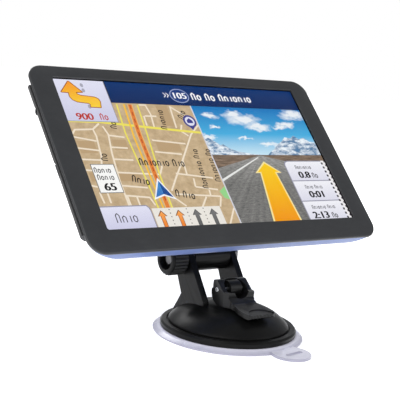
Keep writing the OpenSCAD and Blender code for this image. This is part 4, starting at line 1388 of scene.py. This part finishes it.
streaked(ASPHALT, count=60.0, depth=0.2, glow=0.8)
print("asphalt nodes:", len(ASPHALT.node_tree.nodes))

# %% [markdown]
# The hills are two outlines with snowy speckle, the plains a plain band in front of them, and the
# road a wedge that narrows to the point where all its lines meet.

# %% Hills, plains and road
LEFT_HILL = [
    (VIEW_LEFT, 35), (80, 34), (83, 36), (86, 38.6), (88, 38), (91, 40.6), (96, 42.6), (104, 44),
    (110, 44.6), (110, HORIZON), (VIEW_LEFT, HORIZON),
]
RIGHT_HILL = [
    (114, HORIZON), (117, 43.6), (122, 40.6), (126, 37.6), (130, 35.4), (133, 32.8), (137, 33.6),
    (140, 31.6), (143, 34), (147, 33), (150, 35.6), (154, 37), (154, HORIZON),
]
ROAD = [
    (108.6, 45.2), (110.4, 45.2), (130, 50), (154, 56), (154, BOTTOM), (VIEW_LEFT, BOTTOM), (VIEW_LEFT, 53.2),
]
hills_sheet = Sheet("hills_picture", 2)
hills_sheet.shape(LEFT_HILL, WHOLE)
hills_sheet.shape(RIGHT_HILL, WHOLE)
finished(hills_sheet, SNOW)
plain_sheet = Sheet("plains_picture", 3)
plain_sheet.box(VIEW_LEFT, 44.8, 154, 62, WHOLE)
finished(plain_sheet, PLAIN)
road_sheet = Sheet("road_picture", 4)
road_sheet.shape(ROAD, WHOLE)
finished(road_sheet, ASPHALT)

# %% [markdown]
# Signs lie over the view. First come the white road line, the bar between the two halves and the big
# arrow along the road, which is one pale shape with a slightly smaller yellow one over it.

# %% Road line and the big arrow
ARROW_EDGE = [
    (110, 49), (119, 56.3), (115.4, 56.4), (117.8, BOTTOM), (98.3, BOTTOM), (104.2, 56.4), (101, 56.3),
]
ARROW_FILL = [
    (110, 50.2), (117.3, 55.7), (114.6, 55.8), (116.7, BOTTOM), (99.4, BOTTOM), (105.1, 55.8), (102.8, 55.7),
]
view_sheet = Sheet("road_signs_picture", 5)
view_sheet.shape([(VIEW_LEFT, 59.8), (107.4, 46.2), (107.8, 46.6), (VIEW_LEFT, 61.2)], linear(232, 232, 230))
view_sheet.box(76.9, MAP_TOP, 77.7, BOTTOM, linear(214, 214, 224))
view_sheet.layer = 6
view_sheet.shape(ARROW_EDGE, linear(250, 232, 160))
view_sheet.layer = 7
view_sheet.shape(ARROW_FILL, linear(253, 208, 26), linear(243, 150, 12))
print("corners of the big arrow:", len(ARROW_FILL))

# %% [markdown]
# The trip panel has three rows. Each holds a small grey label and a dark figure, and two of the
# figures have their unit behind them. The top row's corner is cut off, as on a folder's tab.

# %% Trip panel
INFO_TOP, INFO_LOW = linear(244, 244, 250), linear(222, 222, 236)
GREY_INK, DARK_INK = linear(82, 82, 90), linear(20, 20, 26)
PANEL_LEFT, PANEL_RIGHT, PANEL_TOP = 124, 151.7, 48.6
TRIP_LABELS = ((130.4, 54, (8,)), (131, 66.8, (4, 4)), (129, 79.6, (7, 4)))
TRIP_FIGURES = (("0.8", 130.4, 59.8), ("0:01", 131.4, 72.4), ("2:13", 127.2, 85.4))
TRIP_UNITS = ((140.2, 59.8), (140.8, 85.4))

view_sheet.layer = 6
view_sheet.shape([
    (123.4, BOTTOM), (123.4, 51), (124.4, 49.2), (126.4, PANEL_TOP), (154, PANEL_TOP), (154, BOTTOM),
], EDGE_GREY)
view_sheet.layer = 7
view_sheet.shape([
    (PANEL_LEFT, 61.4), (PANEL_LEFT, 51.4), (124.8, 49.9), (126.6, 49.2),
    (PANEL_RIGHT, 49.2), (PANEL_RIGHT, 61.4),
], INFO_TOP, INFO_LOW)
view_sheet.box(PANEL_LEFT, 62, PANEL_RIGHT, 74.3, INFO_TOP, INFO_LOW)
view_sheet.box(PANEL_LEFT, 74.9, PANEL_RIGHT, BOTTOM, INFO_TOP, INFO_LOW)
view_sheet.box(151.2, PANEL_TOP, 154, BOTTOM, linear(240, 238, 240))
view_sheet.layer = 8
for x, y, lengths in TRIP_LABELS:
    words(view_sheet, x, y, lengths, 2.3, GREY_INK)
for text, x, y in TRIP_FIGURES:
    figures(view_sheet, text, x, y, 4.1, DARK_INK, 0.3)
for x, y in TRIP_UNITS:
    words(view_sheet, x, y, (2,), 3.2, DARK_INK)
print("rows in the trip panel:", len(TRIP_LABELS))

# %% [markdown]
# The banner is a dark blue bar, darker towards its foot. It carries a double chevron, a plain route badge
# and a row of marks in the place of a road's name.

# %% Banner
WHITE = linear(246, 247, 250)
BADGE_X, BADGE_Y = 73, 7

view_sheet.layer = 9
view_sheet.box(29.6, 0, 154, MAP_TOP, linear(2, 50, 112), linear(4, 38, 92))
view_sheet.layer = 10
for x in (63, 64.8):
    view_sheet.line([(x, 5.4), (x + 1.3, 6.9), (x, 8.4)], 0.5, WHITE)
view_sheet.disc(BADGE_X, BADGE_Y, 6.1, linear(150, 164, 204), 36, 0.76)
words(view_sheet, 81, 9.2, (2, 2, 7), 4.4, WHITE, stroke=0.2, pitch=0.8)
view_sheet.layer = 11
view_sheet.disc(BADGE_X, BADGE_Y, 5.5, linear(12, 54, 124), 36, 0.74)
view_sheet.layer = 12
figures(view_sheet, "105", 68.1, 8.8, 3.9, WHITE, 0.22)
finished(view_sheet, PAINT)

# %% [markdown]
# ## What repeats: Geometry Nodes
# Squares, ribs and a thread repeat a small shape by a rule, so Geometry Nodes make them. Three helpers
# serve every tree: one starts it with named inputs, one ends it, and one runs it and keeps the mesh.

# %% Helpers for Geometry Nodes
def geometry_tree(name, inputs):
    """A new geometry node group with named inputs and one geometry output."""
    tree = bpy.data.node_groups.new(name, "GeometryNodeTree")
    for label, kind, value in inputs + [("Material", "NodeSocketMaterial", None)]:
        socket = tree.interface.new_socket(label, in_out="INPUT", socket_type=kind)
        if value is not None:
            socket.default_value = value
    tree.interface.new_socket("Geometry", in_out="OUTPUT", socket_type="NodeSocketGeometry")
    return tree, tree.nodes.new("NodeGroupInput")


def end_tree(tree, inputs, source, output):
    """Realizes what a node puts out, sets its material and sends it out of the tree."""
    real = node(tree, "GeometryNodeRealizeInstances")
    coat = node(tree, "GeometryNodeSetMaterial")
    out = node(tree, "NodeGroupOutput")
    wire(tree, source, output, real, "Geometry")
    wire(tree, real, "Geometry", coat, "Geometry")
    wire(tree, inputs, "Material", coat, "Material")
    wire(tree, coat, "Geometry", out, "Geometry")
    print(tree.name, "tree has", len(tree.nodes), "nodes")


def grown(name, tree, place, **values):
    """The mesh that a geometry tree makes with the given inputs, moved to its place."""
    holder = new_object("holder", bpy.data.meshes.new("holder"))
    modifier = holder.modifiers.new("Grow", "NODES")
    modifier.node_group = tree
    for item in tree.interface.items_tree:
        label = item.name.replace(" ", "_")
        if item.in_out == "INPUT" and label in values:
            modifier[item.identifier] = values[label]
    mesh = evaluated_mesh(holder)
    mesh.name = name
    mesh.transform(place)
    bpy.data.objects.remove(holder)
    return mesh


# %% [markdown]
# A chequered strip closes the trip panel on the right. A mesh grid gives the centres, every second
# one is kept, and a square stands there. With two columns and an odd number of rows, every second
# point falls on the other colour from one column to the next, so a remainder of the index picks them.

# %% Chequered strip
chequer_tree, chequer_in = geometry_tree("Chequer", [
    ("Rows", "NodeSocketInt", 24), ("Columns", "NodeSocketInt", 3), ("Square", "NodeSocketFloat", 0.0007),
])
chequer_wide = node(chequer_tree, "ShaderNodeMath", operation="MULTIPLY")
chequer_tall = node(chequer_tree, "ShaderNodeMath", operation="MULTIPLY")
chequer_grid = node(chequer_tree, "GeometryNodeMeshGrid")
chequer_square = node(chequer_tree, "GeometryNodeMeshGrid")
chequer_square.inputs["Vertices X"].default_value = 2
chequer_square.inputs["Vertices Y"].default_value = 2
chequer_index = node(chequer_tree, "GeometryNodeInputIndex")
chequer_odd = node(chequer_tree, "ShaderNodeMath", operation="MODULO")
chequer_odd.inputs[1].default_value = 2.0
chequer_stand = node(chequer_tree, "GeometryNodeInstanceOnPoints")
wire(chequer_tree, chequer_in, "Columns", chequer_wide, 0)
wire(chequer_tree, chequer_in, "Square", chequer_wide, 1)
wire(chequer_tree, chequer_in, "Rows", chequer_tall, 0)
wire(chequer_tree, chequer_in, "Square", chequer_tall, 1)
wire(chequer_tree, chequer_in, "Columns", chequer_grid, "Vertices X")
wire(chequer_tree, chequer_in, "Rows", chequer_grid, "Vertices Y")
wire(chequer_tree, chequer_wide, 0, chequer_grid, "Size X")
wire(chequer_tree, chequer_tall, 0, chequer_grid, "Size Y")
wire(chequer_tree, chequer_in, "Square", chequer_square, "Size X")
wire(chequer_tree, chequer_in, "Square", chequer_square, "Size Y")
wire(chequer_tree, chequer_index, 0, chequer_odd, 0)
wire(chequer_tree, chequer_odd, 0, chequer_stand, "Selection")
wire(chequer_tree, chequer_grid, "Mesh", chequer_stand, "Points")
wire(chequer_tree, chequer_square, "Mesh", chequer_stand, "Instance")
end_tree(chequer_tree, chequer_in, chequer_stand, "Instances")

CHEQUER_INK = speckled("Picture chequer", linear(34, 32, 38), linear(52, 48, 56), 900.0, on_object=True)
chequer_centre = Vector((152.7 - VIEW_W, PICTURE_DEPTH - 8 * LAYER, VIEW_H - 68 + VIEW_UP)) * MM
upright = Matrix.Rotation(math.radians(90), 4, "X")
chequer_mesh = grown(
    "chequer_picture", chequer_tree, UNIT @ Matrix.Translation(chequer_centre) @ upright,
    Rows=29, Columns=2, Square=1.3 * MM, Material=CHEQUER_INK,
)
register(new_object("chequer_picture", chequer_mesh), "lcd_panel", None, replaces=False)
print("chequer squares:", len(chequer_mesh.polygons))

# %% [markdown]
# ## Glass and panel
# The touch glass keeps its CAD shape and gets the coated glass. The display panel behind it shows a
# thin dark border round the picture, so it is a dark, slightly glossy film.

# %% Glass and the display panel's film
FILM = moulded_plastic("Panel film", linear(16, 17, 20), linear(22, 23, 27), (0.2, 0.3), 400, 0.05, edge=0.0)
recoat("touch_panel", GLASS)
recoat("lcd_panel", FILM)
print("recoated: touch_panel and lcd_panel")

# %% [markdown]
# ## The hand knob and the collar
# Both are round shapes with ribs moulded on them, to be gripped. One geometry tree puts any number
# of ribs on a ring: a circle of points with a thin cylinder on each.

# %% Ribs round a ring
RIB_ANGLE = 50

rib_tree, rib_in = geometry_tree("Ribs round a ring", [
    ("Count", "NodeSocketInt", 24), ("Ring Radius", "NodeSocketFloat", 0.0075),
    ("Rib Radius", "NodeSocketFloat", 0.0006), ("Length", "NodeSocketFloat", 0.008),
])
rib_ring = node(rib_tree, "GeometryNodeMeshCircle")
rib_bar = node(rib_tree, "GeometryNodeMeshCylinder")
rib_bar.inputs["Vertices"].default_value = 12
rib_stand = node(rib_tree, "GeometryNodeInstanceOnPoints")
wire(rib_tree, rib_in, "Count", rib_ring, "Vertices")
wire(rib_tree, rib_in, "Ring Radius", rib_ring, "Radius")
wire(rib_tree, rib_in, "Rib Radius", rib_bar, "Radius")
wire(rib_tree, rib_in, "Length", rib_bar, "Depth")
wire(rib_tree, rib_ring, "Mesh", rib_stand, "Points")
wire(rib_tree, rib_bar, "Mesh", rib_stand, "Instance")
end_tree(rib_tree, rib_in, rib_stand, "Instances")


def ribs_on(cad_node, name, place, **values):
    """Makes ribs round a ring, shades them and puts them on a CAD node's body."""
    mesh = grown(name, rib_tree, place, Material=KNOB, **values)
    shade(mesh, RIB_ANGLE)
    register(new_object(name, mesh), cad_node, None, replaces=False)


# %% [markdown]
# A lathe turns an outline round an axis, and the knob's core starts this way. Its outline is one list
# of radii and heights, with small arcs where the real edges are rounded.

# %% A lathe and rounded corners
LATHE_STEPS = 96


def lathe(name, profile):
    """Turns an outline of (radius, height) in millimetres round Z into a closed solid."""
    work = bmesh.new()
    rows = []
    for i in range(LATHE_STEPS):
        angle = 2 * math.pi * i / LATHE_STEPS
        rows.append([
            work.verts.new((r * MM * math.cos(angle), r * MM * math.sin(angle), z * MM)) for r, z in profile
        ])
    count = len(profile)
    for one, two in zip(rows, rows[1:] + rows[:1]):
        for j in range(count):
            k = (j + 1) % count
            work.faces.new((one[j], two[j], two[k], one[k]))
    bmesh.ops.remove_doubles(work, verts=work.verts, dist=0.0005 * MM)
    bmesh.ops.recalc_face_normals(work, faces=work.faces)
    mesh = bpy.data.meshes.new(name)
    work.to_mesh(mesh)
    work.free()
    return mesh


def arc(radius, height, size, first):
    """Points of a rounded corner, as (radius, height), over 90 degrees from a first angle."""
    angles = [math.radians(first) + angle for angle in quarter(5)]
    return [(radius + size * math.cos(a), height + size * math.sin(a)) for a in angles]


print("points in a rounded corner:", len(arc(1, 1, 1, 0)))

# %% [markdown]
# The hand knob is a cup with rounded rims. Its profile is drawn once and turned round the bolt's
# axis, and its size comes from the engineering part's box. The pocket in its face holds the nut.

# %% Knob: a lathed core with a pocket for the nut, and ribs
knob_low, knob_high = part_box("clamp_knob")
knob_r = (knob_high.z - knob_low.z) / 2 / MM
knob_len = (knob_high.x - knob_low.x) / MM
knob_middle = (knob_low + knob_high) / 2
KNOB_PROFILE = (
    [(2.8, 0.0), (6.4, 0.0)] + arc(knob_r - 1.4, 0.9, 0.7, -90) + arc(knob_r - 1.9, knob_len - 1.2, 1.2, 0)
    + [(5.4, knob_len), (5.0, knob_len - 0.5), (4.9, knob_len - 3.2), (2.8, knob_len - 3.2)]
)
knob_place = Matrix.Translation((knob_high.x, knob_middle.y, knob_middle.z))
knob_turn = knob_place @ Matrix.Rotation(math.radians(-90), 4, "Y")
knob_core = lathe("knob_core", KNOB_PROFILE)
knob_core.transform(knob_turn)
shade(knob_core, 40)
register(new_object("hand_knob", knob_core), "clamp_knob", KNOB)
ribs_on(
    "clamp_knob", "knob_ribs", knob_turn @ Matrix.Translation((0, 0, knob_len / 2 * MM)),
    Count=26, Ring_Radius=(knob_r - 0.85) * MM, Rib_Radius=0.68 * MM, Length=(knob_len - 2.4) * MM,
)
print("knob radius and length in mm:", round(knob_r, 2), round(knob_len, 2))

# %% [markdown]
# The collar clamps the ball. It keeps its engineering shape, rounded, and thin ribs from the same
# tree stand in its flutes. They are turned so that each sits in the middle of a flute.

# %% Collar: the rounded CAD copy with ribs in its flutes
register(rounded(welded_copy("collar_ring", "clamping_collar"), 0.25), "collar_ring", STAND)
COLLAR_R = 14.0
RIBS_BEHIND_BALL = 0.6
HALF_FLUTE = 10
ball_turn = UNIT.to_3x3() @ Matrix.Rotation(math.radians(-90), 3, "X")
ball_frame = Matrix.Translation(ball_centre) @ ball_turn.to_4x4()
collar_shift = Matrix.Translation((0, 0, RIBS_BEHIND_BALL * MM))
ribs_on(
    "collar_ring", "collar_ribs",
    ball_frame @ collar_shift @ Matrix.Rotation(math.radians(HALF_FLUTE), 4, "Z"),
    Count=18, Ring_Radius=(COLLAR_R - 0.7) * MM, Rib_Radius=0.35 * MM, Length=5.0 * MM,
)
print("collar radius in mm:", COLLAR_R)

# %% [markdown]
# ## Screw thread
# The bolt's end shows inside the knob, so it needs a thread. A spiral curve with a small profile
# swept along it makes one in three nodes.

# %% Thread on the bolt's end
thread_tree, thread_in = geometry_tree("Thread", [
    ("Turns", "NodeSocketFloat", 8.0), ("Radius", "NodeSocketFloat", 0.0025),
    ("Height", "NodeSocketFloat", 0.006), ("Ridge", "NodeSocketFloat", 0.0002),
])
thread_path = node(thread_tree, "GeometryNodeCurveSpiral")
thread_path.inputs["Resolution"].default_value = 32
thread_section = node(thread_tree, "GeometryNodeCurvePrimitiveCircle")
thread_section.inputs["Resolution"].default_value = 6
thread_sweep = node(thread_tree, "GeometryNodeCurveToMesh")
thread_sweep.inputs["Fill Caps"].default_value = True
wire(thread_tree, thread_in, "Turns", thread_path, "Rotations")
wire(thread_tree, thread_in, "Radius", thread_path, "Start Radius")
wire(thread_tree, thread_in, "Radius", thread_path, "End Radius")
wire(thread_tree, thread_in, "Height", thread_path, "Height")
wire(thread_tree, thread_in, "Ridge", thread_section, "Radius")
wire(thread_tree, thread_path, "Curve", thread_sweep, "Curve")
wire(thread_tree, thread_section, "Curve", thread_sweep, "Profile Curve")
end_tree(thread_tree, thread_in, thread_sweep, "Mesh")

bolt_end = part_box("tilt_bolt")[0].x
thread_place = Matrix.Translation((bolt_end + 0.1 * MM, knob_middle.y, knob_middle.z))
thread_mesh = grown(
    "bolt_thread", thread_tree, thread_place @ Matrix.Rotation(math.radians(90), 4, "Y"),
    Turns=1.4, Radius=2.42 * MM, Height=1.05 * MM, Ridge=0.2 * MM, Material=DARK_STEEL,
)
thread_mesh.shade_smooth()
register(new_object("bolt_thread", thread_mesh), "tilt_bolt", None, replaces=False)
print("thread faces:", len(thread_mesh.polygons))

# %% [markdown]
# ## Inside the unit
# The parts inside can't be seen, but they are real parts, so each one gets a finish of its own: green
# solder mask with faint traces, epoxy chips, a foil-wrapped cell, amber film and wire insulation.

# %% Finishes for the inner parts
def patterned(name, colour, second, rough, kind, scale):
    """A simple two-colour finish driven by one texture."""
    material, tree, shader = new_finish(name, Roughness=rough)
    place = node(tree, "ShaderNodeTexCoord")
    texture = node(tree, "ShaderNodeTex" + kind, Scale=scale)
    reading = texture.outputs.get("Fac") or texture.outputs.get("Distance")
    spread = node(tree, "ShaderNodeMapRange", From_Min=0.4, From_Max=0.6)
    mix = node(tree, "ShaderNodeMix", data_type="RGBA")
    mix.inputs[6].default_value = colour
    mix.inputs[7].default_value = second
    bump = node(tree, "ShaderNodeBump", Strength=0.2, Distance=0.00003)
    wire(tree, place, "Object", texture, "Vector")
    tree.links.new(reading, spread.inputs["Value"])
    wire(tree, spread, "Result", mix, 0)
    wire(tree, mix, 2, shader, "Base Color")
    wire(tree, spread, "Result", bump, "Height")
    wire(tree, bump, "Normal", shader, "Normal")
    return material


BOARD = patterned("Green solder mask", linear(14, 84, 48), linear(22, 104, 60), 0.35, "Voronoi", 300)
CHIP = patterned("Chip epoxy", linear(26, 27, 29), linear(36, 37, 39), 0.6, "Noise", 900)
FOIL = patterned("Cell wrap", linear(50, 84, 150), linear(66, 100, 168), 0.4, "Noise", 120)
CERAMIC = patterned("Aerial ceramic", linear(206, 192, 160), linear(222, 210, 180), 0.5, "Noise", 400)
AMBER = patterned("Amber film", linear(190, 112, 40), linear(214, 140, 60), 0.3, "Wave", 500)
RED_WIRE = patterned("Red insulation", linear(160, 40, 34), linear(178, 56, 46), 0.45, "Noise", 300)
YELLOW_WIRE = patterned("Yellow insulation", linear(202, 164, 60), linear(218, 182, 82), 0.45, "Noise", 300)
FOAM = patterned("Black foam", linear(30, 30, 32), linear(46, 46, 48), 0.9, "Voronoi", 1200)
INNER = {
    "bezel_gasket": FOAM, "lcd_frame": PRESSED, "main_board": BOARD, "processor_shield": SOCKET,
    "board_chips": CHIP, "gps_antenna": CERAMIC, "battery": FOIL, "battery_lead": RED_WIRE,
    "speaker": CHIP, "speaker_lead": YELLOW_WIRE, "usb_socket": SOCKET, "card_socket": SOCKET,
    "earphone_jack": COVER, "microphone": SOCKET, "lcd_flex": AMBER, "power_switch": SOCKET,
    "latch_spring": STEEL, "stem_spring": STEEL, "ball_liner_rear": LINER,
    "ball_liner_front": LINER, "friction_washers": LINER,
}
for cad_node, material in INNER.items():
    recoat(cad_node, material)
print("inner parts with a finish:", len(INNER))
